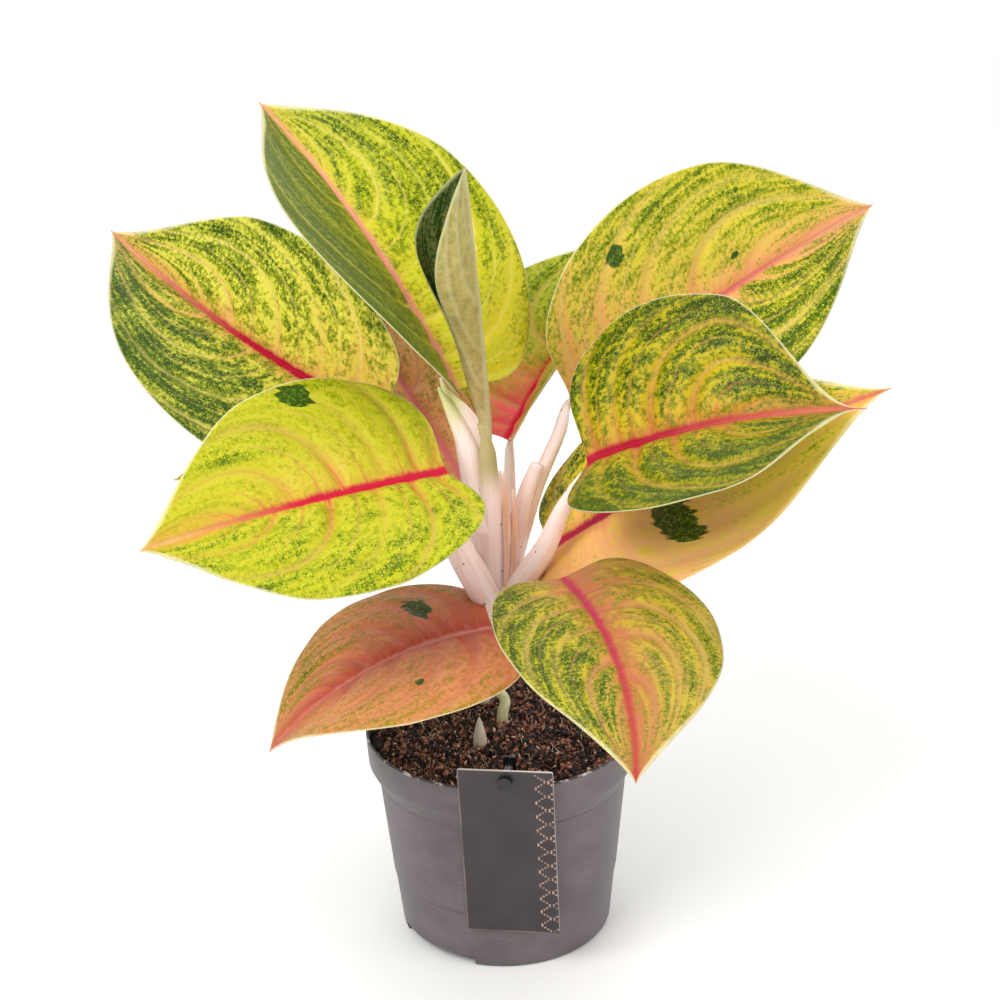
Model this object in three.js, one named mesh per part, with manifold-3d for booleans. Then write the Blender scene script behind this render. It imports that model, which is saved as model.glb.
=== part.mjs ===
// A potted Chinese evergreen: a leafy shoot in a 12 cm nursery pot, with its soil and a card tag on a peg.
// Millimetres, +Z up. The origin is the middle of the pot's underside, and -Y is the side the tag hangs on.
import * as THREE from 'three';
import { mergeVertices } from 'three/addons/utils/BufferGeometryUtils.js';
import Module from 'manifold-3d';

const wasm = await Module();
wasm.setup();

// ---- driving dimensions ----
const GAP = 0.3; // kept between pieces that touch
const WELD = 1e-3; // vertices closer than this are one

const POT = {
  height: 96,
  wall: 1.1,
  rimRadius: 60,
  rimFoot: 82.5, // height of the rim band's lower edge
  shoulder: 74, // height where the body meets the sloping shoulder
  step: 28, // height of the thin step round the lower wall
  shoulderRadius: 55,
  stepRadius: 50,
  footRadius: 47.2,
  footRound: 2,
  crease: 0.45, // depth of the step and of the shoulder's edge
  rimDraft: 0.8, // how much narrower the rim band is at its lower edge
  rimRound: 0.5,
  segments: 36,
};
// Raised recesses in the underside, their angles in degrees, each with two drainage holes.
const NOTCH = { count: 2, first: -135, span: 54, height: 4.5, inner: 26 };
const DRAIN = { radius: 3.5, ring: 36, offset: 13 };
const SOIL = { edge: 90, mound: 3, tilt: 1.5, crumb: 1, crust: 5.5, lap: 1.5, rings: 6, segments: 30, seed: 7 };
const CANE = { top: 5, foot: 6 }; // radii where it ends in the crown and in the soil
const TAG = { width: 40, height: 87, thick: 0.8, corner: 1, holeDrop: 6, foot: 22, yaw: -8, hole: 2.6 };
const PEG = {
  x: 10, // seen square to the card
  y: -48,
  z: 101.6,
  pin: 1.9,
  head: 3.1,
  headThick: 1.4,
  collar: 3.9,
  collarThick: 1.8,
  blade: 5.5,
  thick: 1.6,
  point: 12, // length of the stake's point
  tip: 52,
};
const SPROUT = { x: -9.5, y: -13, foot: 87, height: 19, radius: 3.1 };

const BLADE = {
  thick: 0.8,
  keel: 1.5, // how far the midrib stands below the blade
  vein: 0.45, // half the height of the quilting between side veins
  rows: 18,
  columns: [-1, -0.7, -0.4, -0.13, 0, 0.13, 0.4, 0.7, 1],
  fullest: 1.035, // the plain outline's greatest half width, brought back to 1
  shoulder: 0.06, // how far forward the blade joins its stalk, as a share of its length
  sweep: 1.6, // side veins lean towards the tip, and arch as they near the margin
  arch: 1.8,
};
const LEAF_DEFAULTS = { turn: 0, twist: 0, taper: [0.75, 0.75], lobe: 0.09, skew: [0.3, 0.3], wave: 1 };

// Each leaf blade, from the joint with its stalk. heading is the compass way it points, from +X towards +Y;
// rise is the midrib's slope at the base and at the tip; roll banks it, left side up, and twist adds to that
// towards the tip. Pairs of width, fold, curl, skew and taper are for its left and right halves, seen from
// the base: skew moves the widest place, and a high taper draws the tip in. Angles in degrees.
const LEAVES = [
  { base: [-15, 10, 248], heading: 142, rise: [59, 31], turn: -7, roll: 8, twist: -39,
    length: 157, width: [54, 56], fold: [37, 20], curl: [-12, 7] },
  { base: [-2, 0, 228], heading: 20, rise: [92, 94], roll: 0,
    length: 118, width: [29, 29], fold: [20, 20], curl: [80, 55], furl: 140, skew: [-0.6, -0.6],
    taper: [0.5, 0.5], lobe: 0, wave: 0.6 },
  { base: [-46, 15, 234], heading: 146, rise: [15, 22], turn: -15, roll: -51, twist: 42,
    length: 182, width: [55, 55], fold: [19, 45], curl: [-5, -7] },
  { base: [-19, -25, 225], heading: 208, rise: [2, -10], turn: -8, roll: -19, twist: -28,
    length: 131, width: [52, 53], fold: [13, 15], curl: [-19, -1] },
  { base: [35, 41, 230.5], heading: 40, rise: [20, 15], turn: -8, roll: 64, twist: -17,
    length: 193, width: [66, 50], fold: [33, 15], curl: [-15, -14] },
  { base: [39, -17, 224], heading: -21, rise: [28, 3], turn: 9, roll: 25, twist: 11,
    length: 119, width: [59, 53], fold: [29, 17], curl: [-8, -5], taper: [2.1, 1.6] },
  { base: [23, 13, 172], heading: -36, rise: [41, 19], turn: 37, roll: 41, twist: 3,
    length: 171, width: [44.5, 52], fold: [12, 11], curl: [-10, -13], taper: [0.95, 1.1] },
  { base: [27, -48, 186], heading: -73, rise: [5, -9], turn: -21, roll: 10, twist: -7,
    length: 163, width: [43, 40], fold: [10, 7], curl: [-33, -3], taper: [0.67, 0.67] },
  { base: [-2, -17, 150], heading: 197, rise: [2, -46], roll: 1, twist: 6,
    length: 111, width: [63, 60], fold: [11, 11], curl: [-25, -14],
    skew: [0.42, 0.12], taper: [0.55, 0.6] },
  { base: [7, 58, 208], heading: 48, rise: [45, 30], turn: 6, roll: 15,
    length: 120, width: [46, 34], fold: [13, 65], curl: [-17, -14] },
  { base: [-14, 33, 199], heading: 134, rise: [44, 48], roll: -4,
    length: 138, width: [36, 27], fold: [17, 10], curl: [-14, -15] },
  { base: [-20, 38, 188], heading: 176, rise: [22, -16], turn: -8, roll: -18,
    length: 128, width: [50, 50], fold: [14, 14], curl: [-15, -13] },
];

// The leaf stalks, from the blade's joint down into the crown, and their radii at both ends.
const STALKS = [
  { path: [[-15, 10, 248], [-9, 9, 233], [-6, 9, 217], [-3, 11, 189], [-1, 14, 150]], radius: [3, 6.5] },
  { path: [[-2, 0, 227], [-2, 3, 208], [-1, 9, 182], [0, 13, 150]], radius: [3.4, 5.5] },
  { path: [[-46, 15, 234], [-35, 10, 211], [-22, 11, 184], [-10, 14, 160], [-3, 16, 142]], radius: [2.4, 5] },
  { path: [[-19, -25, 225], [-19, -17, 205], [-16, -8, 185], [-9, 3, 165], [-1, 13, 146]], radius: [2.6, 6] },
  { path: [[35, 41, 230.5], [29, 34, 219], [22, 27, 206], [15, 21, 191], [6, 16, 166], [0, 14, 148]],
    radius: [2.6, 6] },
  { path: [[39, -17, 224], [34, -15, 212], [28, -11, 200], [21, -4, 181], [12, 4, 164], [0, 14, 145]],
    radius: [2.4, 6] },
  { path: [[23, 13, 172], [15, 14, 160], [6, 14, 150], [-1, 15, 138]], radius: [2.6, 4] },
  { path: [[27, -48, 186], [19, -30, 173], [8, -5, 156], [0, 12, 140]], radius: [2.4, 4] },
  { path: [[-2, -17, 150], [-2, -6, 140], [-1, 6, 131], [-3, 18, 122]], radius: [2.6, 4] },
  { path: [[7, 58, 208], [7, 45, 195], [6, 30, 180], [3, 19, 160], [-1, 15, 146]], radius: [2.2, 5] },
  { path: [[-14, 33, 199], [-9, 28, 177], [-4, 21, 154], [-2, 17, 142]], radius: [2.4, 4] },
  { path: [[-20, 38, 188], [-13, 32, 166], [-7, 23, 148], [-4, 19, 135]], radius: [2.4, 4] },
];
// The pointed ends of two stalks' sheaths, standing free beside them.
const SHEATHS = [
  { path: [[-22, 6, 251], [-18, 7, 240], [-13, 8, 223], [-8, 9, 208]], radius: [0.8, 2.6] },
  { path: [[19, 18, 211], [13, 17, 195], [7, 15, 172]], radius: [2.4, 4] },
  { path: [[2, 24, 206], [2, 22, 196], [2, 18, 178], [0, 15, 158]], radius: [1.6, 5.5] },
];
const CANE_PATH = [[0, 13, 158], [-2, 16, 146], [-6, 24, 116], [-8, 29, 98], [-9, 31, 66]];
const HOOK_PATH = [[-5.2, 19.6, 106], [-1, 12.5, 105.5], [2, 9, 102.5], [1, 7, 98], [0, 6, 91]];
const HOOK_RADII = [2.1, 2.6];

// ---- materials ----
function finish(color, roughness, metalness = 0) {
  return new THREE.MeshStandardMaterial({ color, roughness, metalness });
}
const MATERIALS = {
  pot: () => finish(0x554e50, 0.5),
  soil: () => finish(0x35231d, 0.95),
  greenBlade: () => finish(0xa3ad2b, 0.35),
  roseBlade: () => finish(0xc98a5a, 0.35),
  youngBlade: () => finish(0x7d8a54, 0.4),
  stalk: () => finish(0xe8c9bf, 0.4),
  sprout: () => finish(0xdcd5bd, 0.4),
  card: () => finish(0x3b3638, 0.3),
  peg: () => finish(0x2a2a2c, 0.35),
};

// ---- helpers ----
const rad = THREE.MathUtils.degToRad;
const mix = THREE.MathUtils.lerp;
const clamp = THREE.MathUtils.clamp;

function seededRandom(seed) {
  let state = seed;
  return () => {
    state = (state * 1664525 + 1013904223) % 4294967296;
    return state / 4294967296;
  };
}

// A closed mesh with shared vertices as a solid that can be joined and cut.
function solidOf(geometry) {
  const bare = geometry.index ? geometry.toNonIndexed() : geometry.clone();
  bare.deleteAttribute('normal');
  bare.deleteAttribute('uv');
  const welded = mergeVertices(bare, WELD);
  const index = welded.index.array;
  const kept = [];
  for (let i = 0; i < index.length; i += 3) {
    const [a, b, c] = [index[i], index[i + 1], index[i + 2]];
    if (a !== b && b !== c && c !== a) kept.push(a, b, c);
  }
  const vertProperties = new Float32Array(welded.attributes.position.array);
  const triVerts = new Uint32Array(kept);
  return new wasm.Manifold(new wasm.Mesh({ numProp: 3, vertProperties, triVerts }));
}

function geometryOf(solid) {
  const mesh = solid.getMesh();
  const geometry = new THREE.BufferGeometry();
  geometry.setAttribute('position', new THREE.BufferAttribute(mesh.vertProperties, 3));
  geometry.setIndex(new THREE.BufferAttribute(mesh.triVerts, 1));
  return geometry;
}

function unionOf(solids) {
  return solids.reduce((joined, solid) => joined.add(solid));
}

// The largest connected body of a cut solid: what a cut leaves behind as a scrap is dropped.
function largest(solid) {
  return solid.decompose().reduce((best, body) => (body.volume() > best.volume() ? body : best));
}

// A closed shape from a grid of points on its upper face and the matching grid on its lower face.
function shellGeometry(upper, lower) {
  const positions = [];
  const push = (...points) => points.forEach((p) => positions.push(p.x, p.y, p.z));
  const rows = upper.length - 1;
  const columns = upper[0].length - 1;
  for (let i = 0; i < rows; i++) {
    for (let j = 0; j < columns; j++) {
      const [a, b, c, d] = [upper[i][j], upper[i + 1][j], upper[i + 1][j + 1], upper[i][j + 1]];
      const [e, f, g, h] = [lower[i][j], lower[i + 1][j], lower[i + 1][j + 1], lower[i][j + 1]];
      push(a, b, c, a, c, d, e, g, f, e, h, g);
    }
    const [p, q, r, s] = [upper[i][0], upper[i + 1][0], lower[i + 1][0], lower[i][0]];
    push(p, r, q, p, s, r);
    const [t, u, v, w] = [upper[i][columns], upper[i + 1][columns], lower[i + 1][columns], lower[i][columns]];
    push(t, u, v, t, v, w);
  }
  const geometry = new THREE.BufferGeometry();
  geometry.setAttribute('position', new THREE.Float32BufferAttribute(positions, 3));
  return geometry;
}

// A round bar along a smooth curve, its radius going from one end to the other.
function stalkGeometry(path, radii, sides = 7, steps = 8) {
  const curve = new THREE.CatmullRomCurve3(path.map((p) => new THREE.Vector3(...p)));
  const frames = curve.computeFrenetFrames(steps, false);
  const rings = [];
  for (let i = 0; i <= steps; i++) {
    const share = i / steps;
    const centre = curve.getPointAt(share);
    const radius = mix(radii[0], radii[1], share);
    const ring = [];
    for (let k = 0; k <= sides; k++) {
      const angle = (2 * Math.PI * (k % sides)) / sides;
      const out = frames.normals[i].clone().multiplyScalar(Math.cos(angle));
      out.addScaledVector(frames.binormals[i], Math.sin(angle));
      ring.push(centre.clone().addScaledVector(out, radius));
    }
    rings.push(ring);
  }
  const positions = [];
  const push = (...points) => points.forEach((p) => positions.push(p.x, p.y, p.z));
  const first = curve.getPointAt(0);
  const last = curve.getPointAt(1);
  for (let k = 0; k < sides; k++) {
    for (let i = 0; i < steps; i++) {
      const [a, b, c, d] = [rings[i][k], rings[i][k + 1], rings[i + 1][k + 1], rings[i + 1][k]];
      push(a, b, c, a, c, d);
    }
    push(first, rings[0][k + 1], rings[0][k], last, rings[steps][k], rings[steps][k + 1]);
  }
  const geometry = new THREE.BufferGeometry();
  geometry.setAttribute('position', new THREE.Float32BufferAttribute(positions, 3));
  return geometry;
}

// ---- leaf blades ----
// The margin of a flat blade: how far along and how far across it is, for a share s of its length.
function marginAt(s, leaf, side) {
  const turn = Math.PI * s;
  const plain = 0.47 - 0.53 * Math.cos(turn);
  const late = clamp((plain - 0.55) / 0.45, 0, 1);
  const body = Math.sin(turn) * (1 + leaf.skew[side] * Math.cos(turn));
  const across = (body * (1 - late * late) ** leaf.taper[side]) / BLADE.fullest;
  const insertion = Math.exp(-((turn / 0.35) ** 2));
  const lobe = Math.exp(-(((turn - 0.55) / 0.45) ** 2)) * (1 - insertion);
  const along = plain + BLADE.shoulder * insertion - (leaf.lobe - BLADE.shoulder) * lobe;
  return { along, across };
}

// The midrib of a leaf as a list of points and frames from base to tip.
function midribOf(leaf, steps = 60) {
  const stations = [];
  const point = new THREE.Vector3(...leaf.base);
  let before = null;
  for (let i = 0; i <= steps; i++) {
    const q = i / steps;
    const slope = rad(mix(leaf.rise[0], leaf.rise[1], q));
    const heading = rad(leaf.heading + leaf.turn * q);
    const forward = new THREE.Vector3(
      Math.cos(slope) * Math.cos(heading),
      Math.cos(slope) * Math.sin(heading),
      Math.sin(slope),
    );
    if (before) {
      point.addScaledVector(before.clone().add(forward), leaf.length / steps / 2);
    }
    before = forward;
    const level = new THREE.Vector3(-Math.sin(heading), Math.cos(heading), 0);
    const up = new THREE.Vector3().crossVectors(forward, level);
    const bank = rad(leaf.roll + leaf.twist * q);
    const left = level.clone().multiplyScalar(Math.cos(bank)).addScaledVector(up, Math.sin(bank));
    const normal = up.clone().multiplyScalar(Math.cos(bank)).addScaledVector(level, -Math.sin(bank));
    stations.push({ point: point.clone(), forward, left, normal });
  }
  return stations;
}

function stationAt(stations, share) {
  const place = clamp(share, 0, 1) * (stations.length - 1);
  const low = Math.min(Math.floor(place), stations.length - 2);
  const part = place - low;
  const blend = (key) => stations[low][key].clone().lerp(stations[low + 1][key], part);
  return { point: blend('point'), forward: blend('forward'), left: blend('left'), normal: blend('normal') };
}

// A point of the blade's middle surface and the way it faces. s runs along the ribs' roots from the base to
// the tip, and t from the right margin at -1 to the left one at 1.
function bladePoint(leaf, stations, s, t) {
  const side = t >= 0 ? 0 : 1;
  const sign = t >= 0 ? 1 : -1;
  const reach = Math.abs(t);
  const margin = marginAt(s, leaf, side);
  const root = s ** BLADE.sweep;
  const along = root + (margin.along - root) * reach ** BLADE.arch;
  const station = stationAt(stations, along);
  const point = station.point.clone();
  if (along < 0) point.addScaledVector(station.forward, along * leaf.length);
  const furled = leaf.furl !== undefined;
  const opening = furled ? THREE.MathUtils.smoothstep(s, 0.35, 0.75) : 1;
  const half = leaf.width[side] * mix(0.55, 1, opening);
  const distance = half * margin.across * reach;
  const curl = rad(furled ? mix(leaf.furl, leaf.curl[side], opening) : leaf.curl[side]);
  const bend = curl / (furled ? Math.max(half * margin.across, 1) : half);
  const start = rad(leaf.fold[side]);
  const end = start + bend * distance;
  const sideways = (Math.sin(end) - Math.sin(start)) / bend;
  const upward = -(Math.cos(end) - Math.cos(start)) / bend;
  point.addScaledVector(station.left, sign * sideways).addScaledVector(station.normal, upward);
  const facing = station.normal.clone().multiplyScalar(Math.cos(end));
  facing.addScaledVector(station.left, -sign * Math.sin(end)).normalize();
  const veins = (BLADE.rows / 2) * 2 * Math.PI * s;
  const quilting = -BLADE.vein * Math.cos(veins) * Math.sin(Math.PI * Math.min(1, reach * 1.1)) ** 0.5;
  const wave = leaf.wave * reach ** 3 * margin.across * Math.sin(9 * s + 2.1 * leaf.phase + sign);
  point.addScaledVector(facing, (reach > 0 && reach < 0.95 ? quilting : 0) + wave);
  return { point, facing };
}

// A blade as a thin closed solid, extra thicker on both faces.
function bladeGeometry(leaf, extra = 0) {
  const stations = midribOf(leaf);
  const upper = [];
  const lower = [];
  for (let i = 0; i <= BLADE.rows; i++) {
    const top = [];
    const bottom = [];
    const end = i === 0 || i === BLADE.rows;
    for (const t of BLADE.columns) {
      const { point, facing } = bladePoint(leaf, stations, i / BLADE.rows, end ? 0 : t);
      const keel = t === 0 && !end ? BLADE.keel * (1 - (0.75 * i) / BLADE.rows) : 0;
      top.push(point.clone().addScaledVector(facing, BLADE.thick / 2 + extra));
      bottom.push(point.clone().addScaledVector(facing, -BLADE.thick / 2 - keel - extra));
    }
    upper.push(top);
    lower.push(bottom);
  }
  return shellGeometry(upper, lower);
}

// What a stalk is cut back by: the blade, the blade thickened, and the same moved back along the stalk.
function bladeClearance(leaf) {
  const back = midribOf(leaf)[0].forward.multiplyScalar(-2 * GAP);
  const shifted = bladeGeometry(leaf, GAP).translate(back.x, back.y, back.z);
  return unionOf([bladeGeometry(leaf), bladeGeometry(leaf, GAP), shifted].map(solidOf));
}

// ---- pot ----
function lathe(profile) {
  const geometry = new THREE.LatheGeometry(profile.map((p) => new THREE.Vector2(...p)), POT.segments);
  return geometry.rotateX(Math.PI / 2);
}

// The pot's outer line from its foot to its rim, as [radius, height].
function potOutline() {
  return [
    [POT.footRadius - POT.footRound, 0],
    [POT.footRadius - 0.3 * POT.footRound, 0.4 * POT.footRound],
    [POT.footRadius, POT.footRound],
    [POT.stepRadius, POT.step],
    [POT.stepRadius + POT.crease, POT.step + POT.crease],
    [POT.shoulderRadius, POT.shoulder],
    [POT.shoulderRadius + POT.crease, POT.shoulder + 2 * POT.crease],
    [POT.rimRadius - 1.8 * POT.rimDraft, POT.rimFoot - 2 * POT.rimDraft],
    [POT.rimRadius - POT.rimDraft, POT.rimFoot],
    [POT.rimRadius, POT.height - POT.rimRound],
  ];
}

// The radius of the pot's outer face at a height.
function potRadiusAt(height) {
  const outline = potOutline();
  const next = Math.max(1, outline.findIndex((p) => p[1] >= height));
  const [low, high] = [outline[next - 1], outline[next]];
  return mix(low[0], high[0], (height - low[1]) / (high[1] - low[1]));
}

// The space inside the pot, drawn in from its walls by a gap, up to a height.
function potCavity(gap, top) {
  const inset = POT.wall + gap;
  const line = potOutline().slice(2).filter((p) => p[1] < top).map(([r, z]) => [r - inset, z]);
  const foot = POT.footRadius - inset;
  const floor = [[0, inset], [foot - POT.footRound, inset], [foot, inset + POT.footRound]];
  const mouth = potRadiusAt(Math.min(top, POT.height - POT.rimRound)) - inset;
  return solidOf(lathe([...floor, ...line.slice(1), [mouth, top], [0, top]]));
}

// A block with the plan of a ring's sector, centred on an angle.
function sectorBlock(centre, span, inner, outer, bottom, top) {
  const [from, to] = [rad(centre - span / 2), rad(centre + span / 2)];
  const shape = new THREE.Shape();
  shape.absarc(0, 0, outer, from, to, false);
  shape.absarc(0, 0, inner, to, from, true);
  const block = { depth: top - bottom, bevelEnabled: false, curveSegments: 8 };
  return solidOf(new THREE.ExtrudeGeometry(shape, block).translate(0, 0, bottom));
}

function notchCentres() {
  return Array.from({ length: NOTCH.count }, (_, i) => NOTCH.first + (360 / NOTCH.count) * i);
}

// The raised floors over the drainage recesses, grown by a gap.
function raisedFloors(gap) {
  const grown = POT.wall + gap;
  const span = NOTCH.span + (2 * grown * 180) / (Math.PI * POT.footRadius);
  return unionOf(notchCentres().map((centre) => (
    sectorBlock(centre, span, NOTCH.inner - grown, POT.rimRadius, -1, NOTCH.height + grown)
  )));
}

function drainHoles() {
  return unionOf(notchCentres().flatMap((centre) => [-1, 1].map((side) => {
    const angle = rad(centre + side * DRAIN.offset);
    const disc = new THREE.CylinderGeometry(DRAIN.radius, DRAIN.radius, 20, 16).rotateX(Math.PI / 2);
    return solidOf(disc.translate(DRAIN.ring * Math.cos(angle), DRAIN.ring * Math.sin(angle), 0));
  })));
}

function potSolid() {
  const rim = [[POT.rimRadius - POT.rimRound / 2, POT.height], [0, POT.height]];
  const outer = solidOf(lathe([[0, 0], ...potOutline(), ...rim]));
  const recesses = unionOf(notchCentres().map((centre) => (
    sectorBlock(centre, NOTCH.span, NOTCH.inner, POT.rimRadius, -1, NOTCH.height)
  )));
  const cavity = potCavity(0, POT.height + 1).subtract(raisedFloors(0));
  return outer.subtract(recesses).subtract(cavity).subtract(drainHoles());
}

// ---- soil ----
// The peat's lumpy top over a body that fills the pot, with plain holes for what stands in it.
function soilSolid(standing) {
  const random = seededRandom(SOIL.seed);
  const radius = potRadiusAt(SOIL.edge - SOIL.crust) - POT.wall - GAP;
  const heights = [];
  for (let i = 0; i <= SOIL.rings; i++) {
    heights.push(Array.from({ length: SOIL.segments }, () => (random() - 0.5) * 2 * SOIL.crumb));
  }
  const top = [];
  const bottom = [];
  for (let i = 0; i <= SOIL.rings; i++) {
    const share = i / SOIL.rings;
    const [upperRow, lowerRow] = [[], []];
    for (let k = 0; k <= SOIL.segments; k++) {
      const angle = (2 * Math.PI * (k % SOIL.segments)) / SOIL.segments;
      const edge = i === SOIL.rings ? 0 : heights[i][i === 0 ? 0 : k % SOIL.segments];
      const back = Math.sin(angle) * share;
      const height = SOIL.edge + SOIL.mound * (1 - share ** 2) + SOIL.tilt * back + edge;
      const [x, y] = [radius * share * Math.cos(angle), radius * share * Math.sin(angle)];
      upperRow.push(new THREE.Vector3(x, y, height));
      lowerRow.push(new THREE.Vector3(x, y, SOIL.edge - SOIL.crust));
    }
    top.push(upperRow);
    bottom.push(lowerRow);
  }
  const positions = [];
  const push = (...points) => points.forEach((p) => positions.push(p.x, p.y, p.z));
  for (let i = 0; i < SOIL.rings; i++) {
    for (let k = 0; k < SOIL.segments; k++) {
      const [a, b, c, d] = [top[i][k], top[i + 1][k], top[i + 1][k + 1], top[i][k + 1]];
      const [e, f, g, h] = [bottom[i][k], bottom[i + 1][k], bottom[i + 1][k + 1], bottom[i][k + 1]];
      push(a, b, c, a, c, d, e, g, f, e, h, g);
    }
  }
  for (let k = 0; k < SOIL.segments; k++) {
    const [a, b] = [top[SOIL.rings][k], top[SOIL.rings][k + 1]];
    const [c, d] = [bottom[SOIL.rings][k], bottom[SOIL.rings][k + 1]];
    push(a, c, d, a, d, b);
  }
  const crust = new THREE.BufferGeometry();
  crust.setAttribute('position', new THREE.Float32BufferAttribute(positions, 3));
  const body = potCavity(GAP, SOIL.edge - SOIL.crust + SOIL.lap).subtract(raisedFloors(GAP));
  return largest(body.add(solidOf(crust)).subtract(unionOf(standing)));
}

// ---- shoot ----
// The cane, the leaf stalks and their sheaths, grown as one, kept clear of the blades.
function stemsSolid(gap = 0) {
  const bar = ({ path, radius, sides }) => solidOf(stalkGeometry(path, radius.map((r) => r + gap), sides));
  const cane = { path: CANE_PATH, radius: [CANE.top, CANE.foot], sides: 10 };
  return unionOf([cane, ...STALKS, ...SHEATHS].map(bar));
}

// ---- sprouts ----
function sproutGeometry(gap = 0) {
  const { height, radius } = SPROUT;
  const swell = [[0.95, 0.2], [1, 0.35], [0.8, 0.6], [0.4, 0.85], [0.12, 0.97]];
  const profile = [[0, -gap], [0.7, -gap], ...swell, [0, 1 + gap / 10]];
  const line = profile.map(([r, z]) => new THREE.Vector2(r * (radius + gap), z * height));
  return new THREE.LatheGeometry(line, 12).rotateX(Math.PI / 2);
}

// ---- tag and peg ----
function tagGeometry() {
  const { width, height, corner: r, hole } = TAG;
  const x = width / 2;
  const card = new THREE.Shape();
  card.moveTo(-x + r, 0);
  card.lineTo(x - r, 0);
  card.absarc(x - r, r, r, -Math.PI / 2, 0, false);
  card.absarc(x - r, height - r, r, 0, Math.PI / 2, false);
  card.absarc(-x + r, height - r, r, Math.PI / 2, Math.PI, false);
  card.absarc(-x + r, r, r, Math.PI, 1.5 * Math.PI, false);
  const opening = new THREE.Path();
  opening.absarc(0, height - TAG.holeDrop, hole, 0, 2 * Math.PI, true);
  card.holes.push(opening);
  const sheet = { depth: TAG.thick, bevelEnabled: false, curveSegments: 6 };
  return new THREE.ExtrudeGeometry(card, sheet).translate(0, TAG.holeDrop - height, 0);
}

function pegSolid(gap = 0) {
  const place = (geometry) => solidOf(geometry.rotateZ(rad(TAG.yaw)));
  const round = (radius, from, to) => {
    const bar = new THREE.CylinderGeometry(radius + gap, radius + gap, to - from, 14);
    return place(bar.translate(PEG.x, (from + to) / 2, PEG.z));
  };
  const slack = (radius) => GAP + radius * Math.tan(LEAN);
  const back = cardBackAt(PEG.z);
  const front = back - TAG.thick;
  const headBack = front - slack(PEG.head);
  const collarFront = back + slack(PEG.collar);
  const pin = round(PEG.pin, headBack - PEG.headThick / 2, PEG.y + PEG.thick / 2);
  const head = round(PEG.head, headBack - PEG.headThick, headBack);
  const collar = round(PEG.collar, collarFront, collarFront + PEG.collarThick);
  const half = PEG.blade / 2 + gap;
  const blade = new THREE.Shape();
  blade.moveTo(0, PEG.tip - gap);
  blade.lineTo(half, PEG.tip + PEG.point);
  blade.lineTo(half, PEG.z + PEG.collar);
  blade.lineTo(-half, PEG.z + PEG.collar);
  blade.lineTo(-half, PEG.tip + PEG.point);
  const stake = new THREE.ExtrudeGeometry(blade, { depth: PEG.thick + 2 * gap, bevelEnabled: false });
  stake.rotateX(Math.PI / 2).translate(PEG.x, PEG.y + PEG.thick / 2 + gap, 0);
  return unionOf([pin, head, collar, place(stake)]);
}

// The card leans with its back on the rim band's lower edge and on the wall at its own foot.
const RIM_TOUCH = POT.rimRadius - POT.rimDraft + 1.2 * GAP;
const FOOT_TOUCH = potRadiusAt(TAG.foot) + 2 * GAP;
const LEAN = Math.atan((RIM_TOUCH - FOOT_TOUCH) / (POT.rimFoot - TAG.foot));

// The Y of the card's back at a height.
function cardBackAt(z) {
  return -(FOOT_TOUCH + (z - TAG.foot) * Math.tan(LEAN));
}

// ---- the model ----
const model = new THREE.Group();

function addMesh(name, geometry, material, parent = model) {
  const mesh = new THREE.Mesh(geometry, material());
  mesh.name = name;
  parent.add(mesh);
  return mesh;
}

const leaves = LEAVES.map((leaf, i) => ({ ...LEAF_DEFAULTS, phase: i, ...leaf }));
const stems = largest(stemsSolid().subtract(unionOf(leaves.map(bladeClearance))));
const sproutHole = solidOf(sproutGeometry(GAP).translate(SPROUT.x, SPROUT.y, SPROUT.foot));
const hook = (gap) => solidOf(stalkGeometry(HOOK_PATH, HOOK_RADII.map((r) => r + gap), 8));

addMesh('pot', geometryOf(potSolid()), MATERIALS.pot);
const standing = [stemsSolid(GAP), sproutHole, hook(GAP), pegSolid(GAP)];
addMesh('soil', geometryOf(soilSolid(standing)), MATERIALS.soil);
addMesh('stems', geometryOf(stems), MATERIALS.stalk);
const roseLeaves = [7, 9, 11];
leaves.forEach((leaf, i) => {
  const number = i + 1;
  const finishOf = number === 2 ? MATERIALS.youngBlade : MATERIALS.greenBlade;
  const name = `leaf_${String(number).padStart(2, '0')}`;
  const material = roseLeaves.includes(number) ? MATERIALS.roseBlade : finishOf;
  addMesh(name, geometryOf(solidOf(bladeGeometry(leaf))), material);
});
const sprout = addMesh('sprout', sproutGeometry(), MATERIALS.sprout);
sprout.position.set(SPROUT.x, SPROUT.y, SPROUT.foot);
addMesh('aerial_root', geometryOf(hook(0)), MATERIALS.sprout);

const facing = new THREE.Group();
facing.rotation.z = rad(TAG.yaw);
model.add(facing);
const hanging = new THREE.Group();
hanging.position.set(PEG.x, cardBackAt(PEG.z), PEG.z);
hanging.rotation.x = Math.PI / 2 + LEAN;
facing.add(hanging);
addMesh('tag', tagGeometry(), MATERIALS.card, hanging);
addMesh('tag_peg', geometryOf(pegSolid()), MATERIALS.peg);

export default model;
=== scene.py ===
# %% [markdown]
# # A potted Chinese evergreen
# The plant is a crown of oval, speckled leaves on pale pink stalks, in a round nursery pot of peat, with a
# card tag pegged in front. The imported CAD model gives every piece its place, so it is loaded first. The
# finer pieces built here follow the same rules and the same sizes, and each one takes over from its solid.

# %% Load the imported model
import functools
import math

import bmesh
import bpy
import numpy as np
from mathutils import Matrix, Vector


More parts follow.
